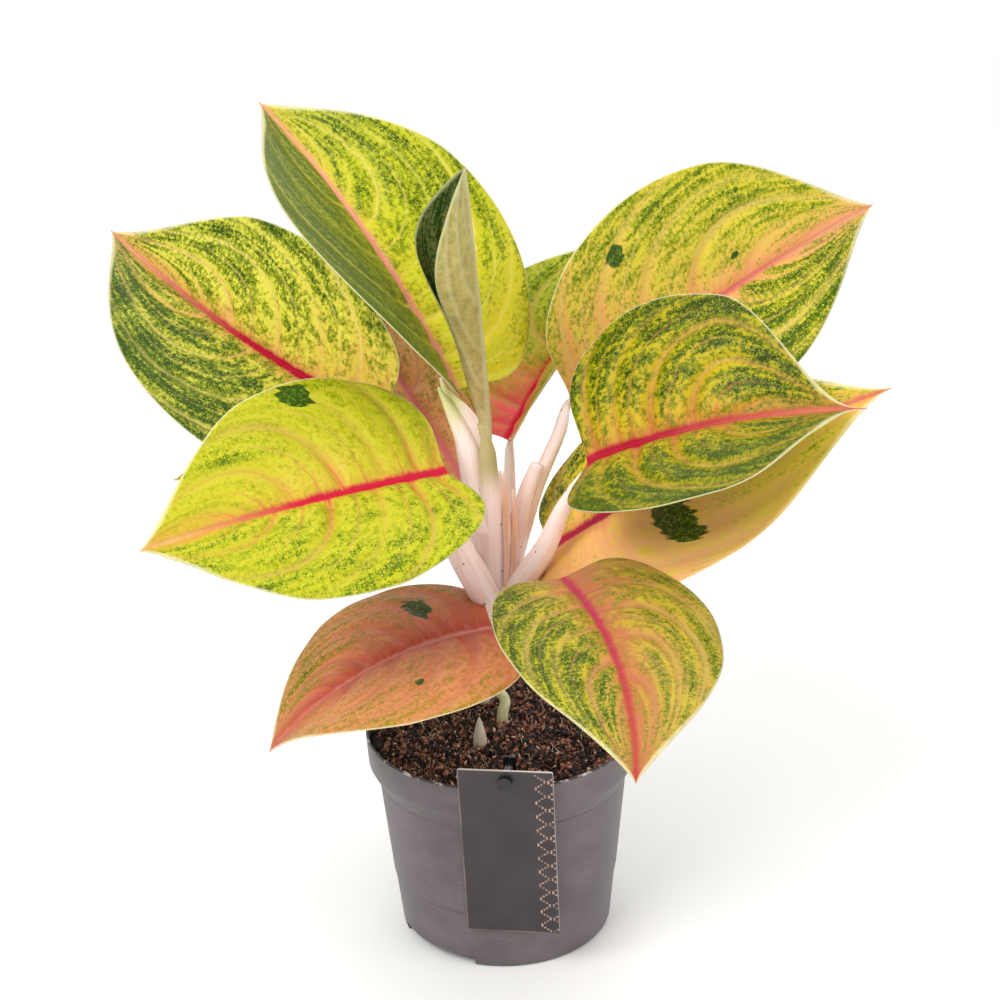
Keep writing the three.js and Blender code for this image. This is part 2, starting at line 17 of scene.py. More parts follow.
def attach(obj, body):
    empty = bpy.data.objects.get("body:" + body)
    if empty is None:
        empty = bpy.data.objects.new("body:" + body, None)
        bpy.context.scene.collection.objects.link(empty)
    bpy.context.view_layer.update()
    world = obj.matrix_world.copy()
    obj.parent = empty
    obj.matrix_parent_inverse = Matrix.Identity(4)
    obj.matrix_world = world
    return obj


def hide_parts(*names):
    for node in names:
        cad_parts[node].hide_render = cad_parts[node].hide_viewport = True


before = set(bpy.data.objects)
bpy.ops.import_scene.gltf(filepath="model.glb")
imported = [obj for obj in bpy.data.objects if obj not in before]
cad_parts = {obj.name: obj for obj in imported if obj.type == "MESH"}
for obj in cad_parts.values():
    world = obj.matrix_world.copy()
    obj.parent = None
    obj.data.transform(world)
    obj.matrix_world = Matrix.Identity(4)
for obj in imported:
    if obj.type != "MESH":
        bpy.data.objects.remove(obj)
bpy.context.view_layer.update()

MM = 0.001  # every size below is in millimetres

# %% [markdown]
# ## Small tools
# A few helpers save repeating. For materials, one turns a hex colour into the linear values that Blender
# works in, and one adds a node with its settings and links. For shapes, one makes a mesh object from points
# in millimetres, one stores values on its vertices, and one gives a finished piece its place in the frame.
# Points are worked out with numpy, because a leaf has thousands of them and they all follow one formula.

# %% Colours and nodes
def modes(kind, setting, names):
    """Kinds of node that have one setting already made, for add."""
    return [(kind, {setting: name}) for name in names.split()]


PLUS, MINUS, TIMES, TIMES_PLUS, ABSOLUTE, ROUND, FRACTION, LARGER, SMALLER, POWER = modes(
    "ShaderNodeMath", "operation",
    "ADD SUBTRACT MULTIPLY MULTIPLY_ADD ABSOLUTE ROUND FRACT MAXIMUM MINIMUM POWER")
STRETCH, OFFSET, DOT, SCALE, LENGTH = modes(
    "ShaderNodeVectorMath", "operation", "MULTIPLY SUBTRACT DOT_PRODUCT SCALE LENGTH")
RANGE, BLEND = "ShaderNodeMapRange", "ShaderNodeMixRGB"  # a range ends in nought to one if no more is said
NOISE, CELLS = "ShaderNodeTexNoise", "ShaderNodeTexVoronoi"
EASE, = modes(RANGE, "interpolation_type", "SMOOTHSTEP")
FLAT_NOISE, = modes(NOISE, "noise_dimensions", "2D")
FLAT_CELLS, = modes(CELLS, "voronoi_dimensions", "2D")
READ, COORDINATES, AXES = "ShaderNodeAttribute", "ShaderNodeTexCoord", "ShaderNodeSeparateXYZ"
SPLIT, BUMP = "ShaderNodeSeparateColor", "ShaderNodeBump"
SHADER, SURFACE = "ShaderNodeBsdfPrincipled", "ShaderNodeOutputMaterial"


def linear(code):
    """Linear RGBA from an sRGB hex colour."""
    parts = [int(code[i:i + 2], 16) / 255 for i in (1, 3, 5)]
    return [c / 12.92 if c <= 0.04045 else ((c + 0.055) / 1.055) ** 2.4 for c in parts] + [1.0]


def add(tree, kind, *values, **named):
    """Adds a node. Values fill its inputs in order. Names in lower case are its settings, and names with a
    capital are inputs, with _ for a space. A node given as a value is linked from its first output, and a
    hex colour is made linear."""
    kind, preset = (kind, {}) if isinstance(kind, str) else kind
    node = tree.nodes.new(kind)
    inputs = list(enumerate(values))
    for name, value in {**preset, **named}.items():
        if name[0].isupper():
            inputs.append((name.replace("_", " "), value))
        else:
            setattr(node, name, value)
    for place, value in inputs:
        if isinstance(value, bpy.types.Node):
            value = value.outputs[0]
        if isinstance(value, bpy.types.NodeSocket):
            tree.links.new(value, node.inputs[place])
        else:
            colour = isinstance(value, str) and value.startswith("#")
            node.inputs[place].default_value = linear(value) if colour else value
    return node


def new_material(name):
    """An empty node material, and add for its nodes."""
    material = bpy.data.materials.new(name)
    material.use_nodes = True
    material.node_tree.nodes.clear()
    return material, functools.partial(add, material.node_tree)


def new_group(name, inputs, output):
    """An empty Geometry Nodes tree and add for its nodes. inputs are (name, type) pairs."""
    tree = bpy.data.node_groups.new(name, "GeometryNodeTree")
    for label, kind in inputs:
        tree.interface.new_socket(label, in_out="INPUT", socket_type="NodeSocket" + kind)
    tree.interface.new_socket(output, in_out="OUTPUT", socket_type="NodeSocketGeometry")
    return tree, functools.partial(add, tree)


# %% Meshes
def mesh_object(name, points, faces):
    """A smooth-shaded object at the origin, from points in millimetres."""
    mesh = bpy.data.meshes.new(name)
    mesh.from_pydata((np.asarray(points) * MM).tolist(), [], faces)
    mesh.polygons.foreach_set("use_smooth", [True] * len(mesh.polygons))
    mesh.update()
    piece = bpy.data.objects.new(name, mesh)
    bpy.context.scene.collection.objects.link(piece)
    return piece


def note(mesh, name, values):
    """Stores a number or a vector for each vertex, for the materials to read."""
    values = np.asarray(values, np.float32)
    kind, key = ("FLOAT_VECTOR", "vector") if values.ndim == 2 else ("FLOAT", "value")
    mesh.attributes.new(name, kind, "POINT").data.foreach_set(key, values.ravel())


def dress(piece, *materials):
    """Gives a piece these materials and no others."""
    piece.data.materials.clear()
    for material in materials:
        piece.data.materials.append(material)


def settle(piece, slot, *nodes):
    """Hides the CAD nodes that a finished piece stands for, and gives it the body it rides on. slot is not
    used.
    """
    if nodes:
        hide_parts(*nodes)
    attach(piece, "root")
    print(f"{piece.name}: {len(piece.data.polygons)} faces")


def from_modifiers(piece):
    """Replaces a piece's mesh by what its modifiers make of it, and drops them."""
    graph = bpy.context.evaluated_depsgraph_get()
    finished = bpy.data.meshes.new_from_object(piece.evaluated_get(graph))
    piece.modifiers.clear()
    piece.data = finished
    return piece


def grown(piece, tree, values):
    """A piece made by a Geometry Nodes tree, with values for its named inputs."""
    modifier = piece.modifiers.new(tree.name, "NODES")
    modifier.node_group = tree
    for item in tree.interface.items_tree:
        if item.in_out == "INPUT" and item.name in values:
            modifier[item.identifier] = values[item.name]
    return from_modifiers(piece)


def mix(a, b, share):
    return a + (b - a) * share


def smoothstep(x, low, high):
    share = np.clip((x - low) / (high - low), 0, 1)
    return share * share * (3 - 2 * share)


def bell(x, width):
    """One in the middle, and nearly nought from twice the width on."""
    return np.exp(-((x / width) ** 2))


# %% [markdown]
# ## Camera, light and floor
# The photograph was taken from a little above, at about a metre, and the camera leans a touch to one side.
# The plant stood in a white light tent, so the light comes from everywhere and the shadows are faint: a
# bright world, a large soft lamp at the upper left, and weaker ones above and at the right.

# %% Camera
AIM = Vector((2.4, 0, 202)) * MM
CAMERA_DISTANCE = 900 * MM
CAMERA_ELEVATION = 21.5
CAMERA_ROLL = -1.7
FOCAL_LENGTH, SENSOR_WIDTH = 76.3, 36
CLIP_START = 50 * MM

raised = math.radians(CAMERA_ELEVATION)
camera = bpy.data.objects.new("camera", bpy.data.cameras.new("camera"))
camera.data.lens = FOCAL_LENGTH
camera.data.sensor_width = SENSOR_WIDTH
camera.data.clip_start = CLIP_START
camera.location = AIM + CAMERA_DISTANCE * Vector((0, -math.cos(raised), math.sin(raised)))
tilt = Matrix.Rotation(math.pi / 2 - raised, 3, "X") @ Matrix.Rotation(math.radians(CAMERA_ROLL), 3, "Z")
camera.rotation_euler = tilt.to_euler()
bpy.context.scene.collection.objects.link(camera)
bpy.context.scene.camera = camera
bpy.context.scene.view_settings.view_transform = "Standard"
print("camera at", [round(c, 3) for c in camera.location])

# %% Lamps, world and floor
WORLD_STRENGTH = 0.64
FLOOR = 6000
LAMPS = [  # name, place and aim in metres, size in metres, watts
    ("key_softbox", (-0.8, -0.9, 1.3), AIM, 0.8, 17),
    ("top_softbox", (0.1, 0.2, 1.6), AIM, 1.2, 6),
    ("fill_softbox", (1.1, -0.7, 0.8), AIM, 1.0, 6.5),
    ("floor_wash", (0, 4.2, 3), (0, 4.4, 0), 5.0, 85),
]
for name, place, aim, size, watts in LAMPS:
    lamp = bpy.data.lights.new(name, "AREA")
    lamp.shape, lamp.size, lamp.energy = "SQUARE", size, watts
    softbox = bpy.data.objects.new(name, lamp)
    softbox.location = place
    softbox.rotation_euler = (Vector(place) - Vector(aim)).to_track_quat("Z", "Y").to_euler()
    bpy.context.scene.collection.objects.link(softbox)

world = bpy.data.worlds.new("white_tent")
world.use_nodes = True
background = world.node_tree.nodes["Background"].inputs
background["Color"].default_value = linear("#ffffff")
background["Strength"].default_value = WORLD_STRENGTH
bpy.context.scene.world = world

floor_finish, put = new_material("paper_sweep_matte")
put(SURFACE, put(SHADER, Base_Color="#f7f6f5", Roughness=0.8))
corners = [(-FLOOR, -FLOOR, 0), (FLOOR, -FLOOR, 0), (FLOOR, FLOOR, 0), (-FLOOR, FLOOR, 0)]
floor = mesh_object("floor", corners, [(0, 1, 2, 3)])
dress(floor, floor_finish)

# %% [markdown]
# ## The leaf blades
# A blade is a thin sheet folded along its midrib, with side veins that leave the midrib slanting forward and
# arch as they near the margin. Modelling twelve by hand would hide what they share, so one formula draws the
# outline, the veins, the fold and the quilting, and each leaf only says where it grows, which way it points
# and how wide each half is. These are the same values that the CAD solids are made from.

# %% What each leaf is
# A leaf is banked by roll, and by twist towards its tip. fold and curl bend its halves up from the midrib. skew
# and taper shape its outline, lobe its base and arch its side veins; offset parts the veins of the two halves.
LEAF_DEFAULTS = dict(turn=0, twist=0, taper=(0.75, 0.75), lobe=0.09, skew=(0.3, 0.3), wave=1, furl=None,
                     offset=0.4, arch=1.1, quilt=1)
LEAVES = [  # millimetres and degrees; rise is at the base and the tip, other pairs are for left and right
    dict(base=(-15, 10, 248), heading=142, rise=(59, 31), turn=-7, roll=8, twist=-39,
         length=157, width=(54, 56), fold=(37, 20), curl=(-12, 7)),
    dict(base=(-2, 0, 228), heading=20, rise=(92, 94), roll=0,
         length=118, width=(29, 29), fold=(20, 20), curl=(80, 55), furl=140, skew=(-0.6, -0.6),
         taper=(0.5, 0.5), lobe=0, wave=0.6),
    dict(base=(-46, 15, 234), heading=146, rise=(15, 22), turn=-15, roll=-51, twist=42,
         length=182, width=(55, 55), fold=(19, 45), curl=(-5, -7)),
    dict(base=(-19, -25, 225), heading=208, rise=(2, -10), turn=-8, roll=-19, twist=-28,
         length=131, width=(52, 53), fold=(13, 15), curl=(-19, -1), arch=0.6, quilt=1.7),
    dict(base=(35, 41, 230.5), heading=40, rise=(20, 15), turn=-8, roll=64, twist=-17,
         length=193, width=(66, 50), fold=(33, 15), curl=(-15, -14), quilt=1.3),
    dict(base=(39, -17, 224), heading=-21, rise=(28, 3), turn=9, roll=25, twist=11,
         length=119, width=(59, 53), fold=(29, 17), curl=(-8, -5), taper=(2.1, 1.6), quilt=1.5),
    dict(base=(23, 13, 172), heading=-36, rise=(41, 19), turn=37, roll=41, twist=3,
         length=171, width=(44.5, 52), fold=(12, 11), curl=(-10, -13), taper=(0.95, 1.1)),
    dict(base=(27, -48, 186), heading=-73, rise=(5, -9), turn=-21, roll=10, twist=-7,
         length=163, width=(43, 40), fold=(10, 7), curl=(-33, -3), taper=(0.67, 0.67)),
    dict(base=(-2, -17, 150), heading=197, rise=(2, -46), roll=1, twist=6,
         length=111, width=(63, 60), fold=(11, 11), curl=(-25, -14), skew=(0.42, 0.12), taper=(0.55, 0.6)),
    dict(base=(7, 58, 208), heading=48, rise=(45, 30), turn=6, roll=15,
         length=120, width=(46, 34), fold=(13, 65), curl=(-17, -14)),
    dict(base=(-14, 33, 199), heading=134, rise=(44, 48), roll=-4,
         length=138, width=(36, 27), fold=(17, 10), curl=(-14, -15)),
    dict(base=(-20, 38, 188), heading=176, rise=(22, -16), turn=-8, roll=-18,
         length=128, width=(50, 50), fold=(14, 14), curl=(-15, -13)),
]
LEAVES = [{**LEAF_DEFAULTS, **leaf} for leaf in LEAVES]
VEINS = 7  # gaps between side veins on each half
ROWS = 23 * VEINS
COLUMNS = 73
THICK = (0.8, 0.45)  # at the midrib and at the margin
KEEL = (2.3, 0.5)  # how far the midrib stands below the blade at its base and at its tip
KEEL_WIDTH = (2.4, 1.0)
CHANNEL, CHANNEL_WIDTH = 0.6, (2.2, 1.0)  # depth and half width of the groove over the midrib
CORD, CORD_WIDTH = 0.25, 0.8  # the side veins' ridges under the blade
QUILT, GROOVE_WIDTH = 2.3, 2.8  # the panels puffed up between side veins, and the grooves over these
WAVE, WAVE_SHIFT = 9, 2.1  # radians of wave from base to tip, and from one leaf to the next
FLOW = 20  # usual distance between side veins, for patterns that follow them
APART = 500  # between the leaves in the noise, so that no two are mottled alike
SHOULDER = 0.06  # how far forward the blade joins its stalk, as a share of its length
print(len(LEAVES), "leaves, the longest", max(leaf["length"] for leaf in LEAVES), "mm")


# %% The midrib and the outline
def midrib(leaf, steps=240):
    """Points and frames along a leaf's midrib: where it is, and which way is forward, left and up."""
    share = np.linspace(0, 1, steps + 1)
    slope = np.radians(mix(leaf["rise"][0], leaf["rise"][1], share))
    heading = np.radians(leaf["heading"] + leaf["turn"] * share)
    flat = np.cos(slope)
    forward = np.stack([flat * np.cos(heading), flat * np.sin(heading), np.sin(slope)], 1)
    strides = (forward[1:] + forward[:-1]) * leaf["length"] / steps / 2
    point = np.array(leaf["base"], float) + np.concatenate([np.zeros((1, 3)), np.cumsum(strides, 0)])
    level = np.stack([-np.sin(heading), np.cos(heading), 0 * heading], 1)
    up = np.cross(forward, level)
    bank = np.radians(leaf["roll"] + leaf["twist"] * share)[:, None]
    left = level * np.cos(bank) + up * np.sin(bank)
    normal = up * np.cos(bank) - level * np.sin(bank)
    return share, point, forward, left, normal


def margin(leaf, s, side):
    """How far along and how far across the margin is, for a share s of the outline."""
    turn = np.pi * s
    plain = 0.47 - 0.53 * np.cos(turn)
    late = np.clip((plain - 0.55) / 0.45, 0, 1)
    across = np.sin(turn) * (1 + leaf["skew"][side] * np.cos(turn))
    across = across * (1 - late ** 2) ** leaf["taper"][side] / 1.035
    insertion = bell(turn, 0.35)
    lobe = bell(turn - 0.55, 0.45) * (1 - insertion)
    return plain + SHOULDER * insertion - (leaf["lobe"] - SHOULDER) * lobe, across


# %% The surface of a blade
def blade_surface(leaf, phase, s, t):
    """Points, facing, and distances in millimetres for outline shares s and cross shares t."""
    side = (t < 0).astype(int)
    sign = np.where(t >= 0, 1.0, -1.0)
    reach = np.abs(t)
    pairs = {key: np.where(side == 0, leaf[key][0], leaf[key][1]) for key in ("width", "fold", "curl")}
    ends = [margin(leaf, s, k) for k in (0, 1)]
    end_along = np.where(side == 0, ends[0][0], ends[1][0])
    end_across = np.where(side == 0, ends[0][1], ends[1][1])
    root = s ** 1.6
    along = root + (end_along - root) * reach ** 1.8
    share, point, forward, left, normal = midrib(leaf)
    held = np.clip(along, 0, 1)
    point, forward, left, normal = (np.stack([np.interp(held, share, field[:, k]) for k in range(3)], -1)
                                    for field in (point, forward, left, normal))
    point = point + forward * (np.minimum(along, 0) * leaf["length"])[..., None]
    half, curl = pairs["width"].astype(float), pairs["curl"].astype(float)
    if leaf["furl"]:
        opening = smoothstep(s, 0.4, 0.78)
        half = half * mix(0.5, 1, opening)
        curl = mix(leaf["furl"], curl, opening)
        bend = np.radians(curl) / np.maximum(half * end_across, 1)
    else:
        bend = np.radians(curl) / half
    distance = half * end_across * reach
    start = np.radians(pairs["fold"])
    end = start + bend * distance
    sideways = sign * (np.sin(end) - np.sin(start)) / bend
    upward = -(np.cos(end) - np.cos(start)) / bend
    point = point + left * sideways[..., None] + normal * upward[..., None]
    facing = normal * np.cos(end)[..., None] - left * (sign * np.sin(end))[..., None]
    rib = VEINS * vein_root(s, reach, leaf["arch"]) + np.where(side == 0, 0, leaf["offset"])
    wave = leaf["wave"] * reach ** 3 * end_across * np.sin(WAVE * s + WAVE_SHIFT * phase + sign)
    point = point + facing * wave[..., None]
    span = half * end_across
    rim = np.maximum(span, 9) * (1 - reach)
    return dict(point=point, facing=facing, along=along, across=distance * sign, rim=rim, rib=rib, reach=reach)


def vein_root(s, reach, arch):
    """Where on the outline scale the side vein through a point leaves the midrib. A vein runs nearly straight
    at first and arches forward as it nears the margin."""
    bend = arch * reach ** 3.6 + 1e-9
    return ((1 + bend) - np.sqrt((1 + bend) ** 2 - 4 * bend * s)) / (2 * bend)


def slope_of(field, point):
    """How fast a field changes over a grid of surface points, per millimetre."""
    down, over = np.gradient(point, axis=0), np.gradient(point, axis=1)
    e, f, g = (down * down).sum(-1), (down * over).sum(-1), (over * over).sum(-1)
    field_down, field_over = np.gradient(field, axis=0), np.gradient(field, axis=1)
    steep = g * field_down ** 2 - 2 * f * field_down * field_over + e * field_over ** 2
    return np.sqrt(np.maximum(steep, 0) / np.maximum(e * g - f * f, 1e-6))


# %% [markdown]
# A blade needs two faces and an edge, or its shadow and its thickness look like paper. The upper and the
# lower grid are joined round the margin, and all columns meet in one point at the base and at the tip. The
# midrib is a shallow channel above and a round keel below, as on the real leaf.

# %% A blade as a closed sheet
def sheet_faces(rows, columns):
    """Faces of two grids joined round their border, with one point for each grid at both ends."""
    lower = rows * columns
    base, tip = 2 * lower, 2 * lower + 2

    def at(i, j, under):
        return i * columns + j + lower * under if 0 <= i < rows else (base if i < 0 else tip) + under

    faces, upper_count = [], 0
    for under in (0, 1):
        for i in range(-1, rows):
            for j in range(columns - 1):
                ring = [at(i, j, under), at(i + 1, j, under), at(i + 1, j + 1, under), at(i, j + 1, under)]
                ring = list(dict.fromkeys(ring))
                faces.append(ring[::-1] if under else ring)
        if not under:
            upper_count = len(faces)
    border_start = len(faces)
    for i in range(-1, rows):
        faces.append([at(i, 0, 0), at(i, 0, 1), at(i + 1, 0, 1), at(i + 1, 0, 0)])
        last = columns - 1
        faces.append([at(i, last, 0), at(i + 1, last, 0), at(i + 1, last, 1), at(i, last, 1)])
    return faces, upper_count, border_start


SHEET_FACES, UPPER_FACES, BORDER_FACES = sheet_faces(ROWS - 1, COLUMNS)


def blade(number, leaf):
    """One leaf blade, with what its materials read stored on its vertices."""
    spread = np.linspace(-1, 1, COLUMNS)
    t = np.sign(spread) * np.abs(spread) ** 1.25
    s, t = np.meshgrid(np.linspace(0, 1, ROWS + 1), t, indexing="ij")
    surface = blade_surface(leaf, number - 1, s, t)
    reach, across, rib = surface["reach"], np.abs(surface["across"]), surface["rib"]
    veins = VEINS * vein_root(s, reach, leaf["arch"])
    rib_mm = 1 / np.maximum(slope_of(veins, surface["point"]), 0.02)
    vein = np.abs(rib - np.round(rib)) * rib_mm
    force = 0.68 + 0.32 * np.sin(2.4 * rib + number)  # no two side veins are equally strong
    inner = np.sin(np.pi * np.clip(s, 0, 1)) ** 0.3
    quilt = leaf["quilt"] * QUILT * (0.4 - force * bell(vein, GROOVE_WIDTH)) * np.clip(1.1 - reach, 0, 1) ** 0.5
    quilt = quilt * inner * smoothstep(across, 0.5, 7)
    channel = CHANNEL * bell(across, mix(*CHANNEL_WIDTH, s)) * inner
    keel = mix(*KEEL, s) * bell(across, mix(*KEEL_WIDTH, s)) * inner
    cord = CORD * bell(vein, CORD_WIDTH) * (1 - reach) ** 0.5 * inner
    half_thick = mix(*THICK, reach) / 2
    above = surface["point"] + surface["facing"] * (quilt + half_thick - channel)[..., None]
    below = surface["point"] + surface["facing"] * (quilt - half_thick - keel - cord)[..., None]
    middle = COLUMNS // 2

    def whole(upper, lower):
        """A grid's rows for both faces, then the points that close the base and the tip."""
        rows = [grid[1:-1].reshape(-1, *grid.shape[2:]) for grid in (upper, lower)]
        return np.concatenate([*rows, [grid[end, middle] for end in (0, -1) for grid in (upper, lower)]])

    piece = mesh_object(f"blade_{number:02d}", whole(above, below), SHEET_FACES)
    level = surface["along"] * leaf["length"] + APART * number
    fields = {"along": surface["along"], "across": surface["across"], "rim": surface["rim"], "rib": rib,
              "rib_mm": rib_mm, "force": force, "grid": np.stack([level, surface["across"], 0 * s], -1),
              "flow": np.stack([rib * FLOW, surface["across"], 0 * s], -1)}
    look = LOOKS[number]
    for name in ("dense", "blush", "patch", "dusk"):
        fields[name] = spread_of(look[name], s, t)
    for name, field in fields.items():
        note(piece.data, name, whole(field, field))
    dress(piece, blade_finish(number, look), underside_finish(number, look))
    slots = np.zeros(len(SHEET_FACES), int)
    slots[UPPER_FACES:BORDER_FACES] = 1
    piece.data.polygons.foreach_set("material_index", slots)
    return piece


# %% [markdown]
# ## How a leaf is coloured
# The colours of a Chinese evergreen lie in the leaf itself: a yellow-green ground, dark green speckles that
# thicken towards the margin, a blush of rose or tan, pale side veins, a crimson midrib and a thin cream
# margin. Painting twelve textures would not stay sharp, so each leaf gives a few soft areas for its speckles
# and its blush, and one of painted shade, stored on the vertices, and noise in millimetres breaks them up.

# %% Soft areas on a blade
def spread_of(areas, s, t):
    """A share for each vertex. The first entry gives the share near the midrib and at the margin, for the
    left and the right half, and each other entry adds a soft spot: s, t, its reach in s and t, amount."""
    (left, right), *spots = areas
    reach = smoothstep(np.abs(t), 0.05, 0.95)
    value = np.where(t >= 0, mix(left[0], left[1], reach), mix(right[0], right[1], reach))
    for spot_s, spot_t, wide_s, wide_t, amount in spots:
        value = value + amount * np.exp(-((s - spot_s) / wide_s) ** 2 - ((t - spot_t) / wide_t) ** 2)
    return value


# The ground is heart near the midrib, field beyond it, sun in its bright grains and edge near the margin. Over
# it lie moss, speck and dot, with glint left between them. Along the midrib (rib, at its base and tip) runs the
# halo, which reaches some millimetres out and ends at a share of the length, frayed. vein_base and vein colour
# the side veins, hem the margin, and dense, blush and patch are soft areas, given for spread_of. The fourth
# soft area, with its own tone, is painted shade: a darker, greyer green over the parts of a blade that turn
# away from the light and over the inside of the furled leaf.
NONE = [((0, 0), (0, 0))]
LOOK_DEFAULTS = dict(
    heart="#c2bc28", field="#acae1c", sun="#c8be3c", edge="#8e9a1a", moss="#86921a", speck="#56680a",
    dot="#264206", glint="#d8d050", blush_tone="#d09048", painted_shade_tone="#50661c", vein="#d8c45c",
    vein_base="#dca464", vein_width=2.2, vein_amount=0.9, rib=("#b81834", "#d8786c"), rib_width=(2.1, 0.5),
    rib_turns=(0.25, 0.85), halo="#d48850", halo_reach=6.0, halo_amount=0.5, halo_end=9.0, fray=1.5,
    hem="#f0e6b4", hem_amount=0.6, under="#9aa86c", under_deep="#64784a", under_rib="#d2ac90",
    dense=NONE, blush=NONE, patch=NONE, dusk=NONE)
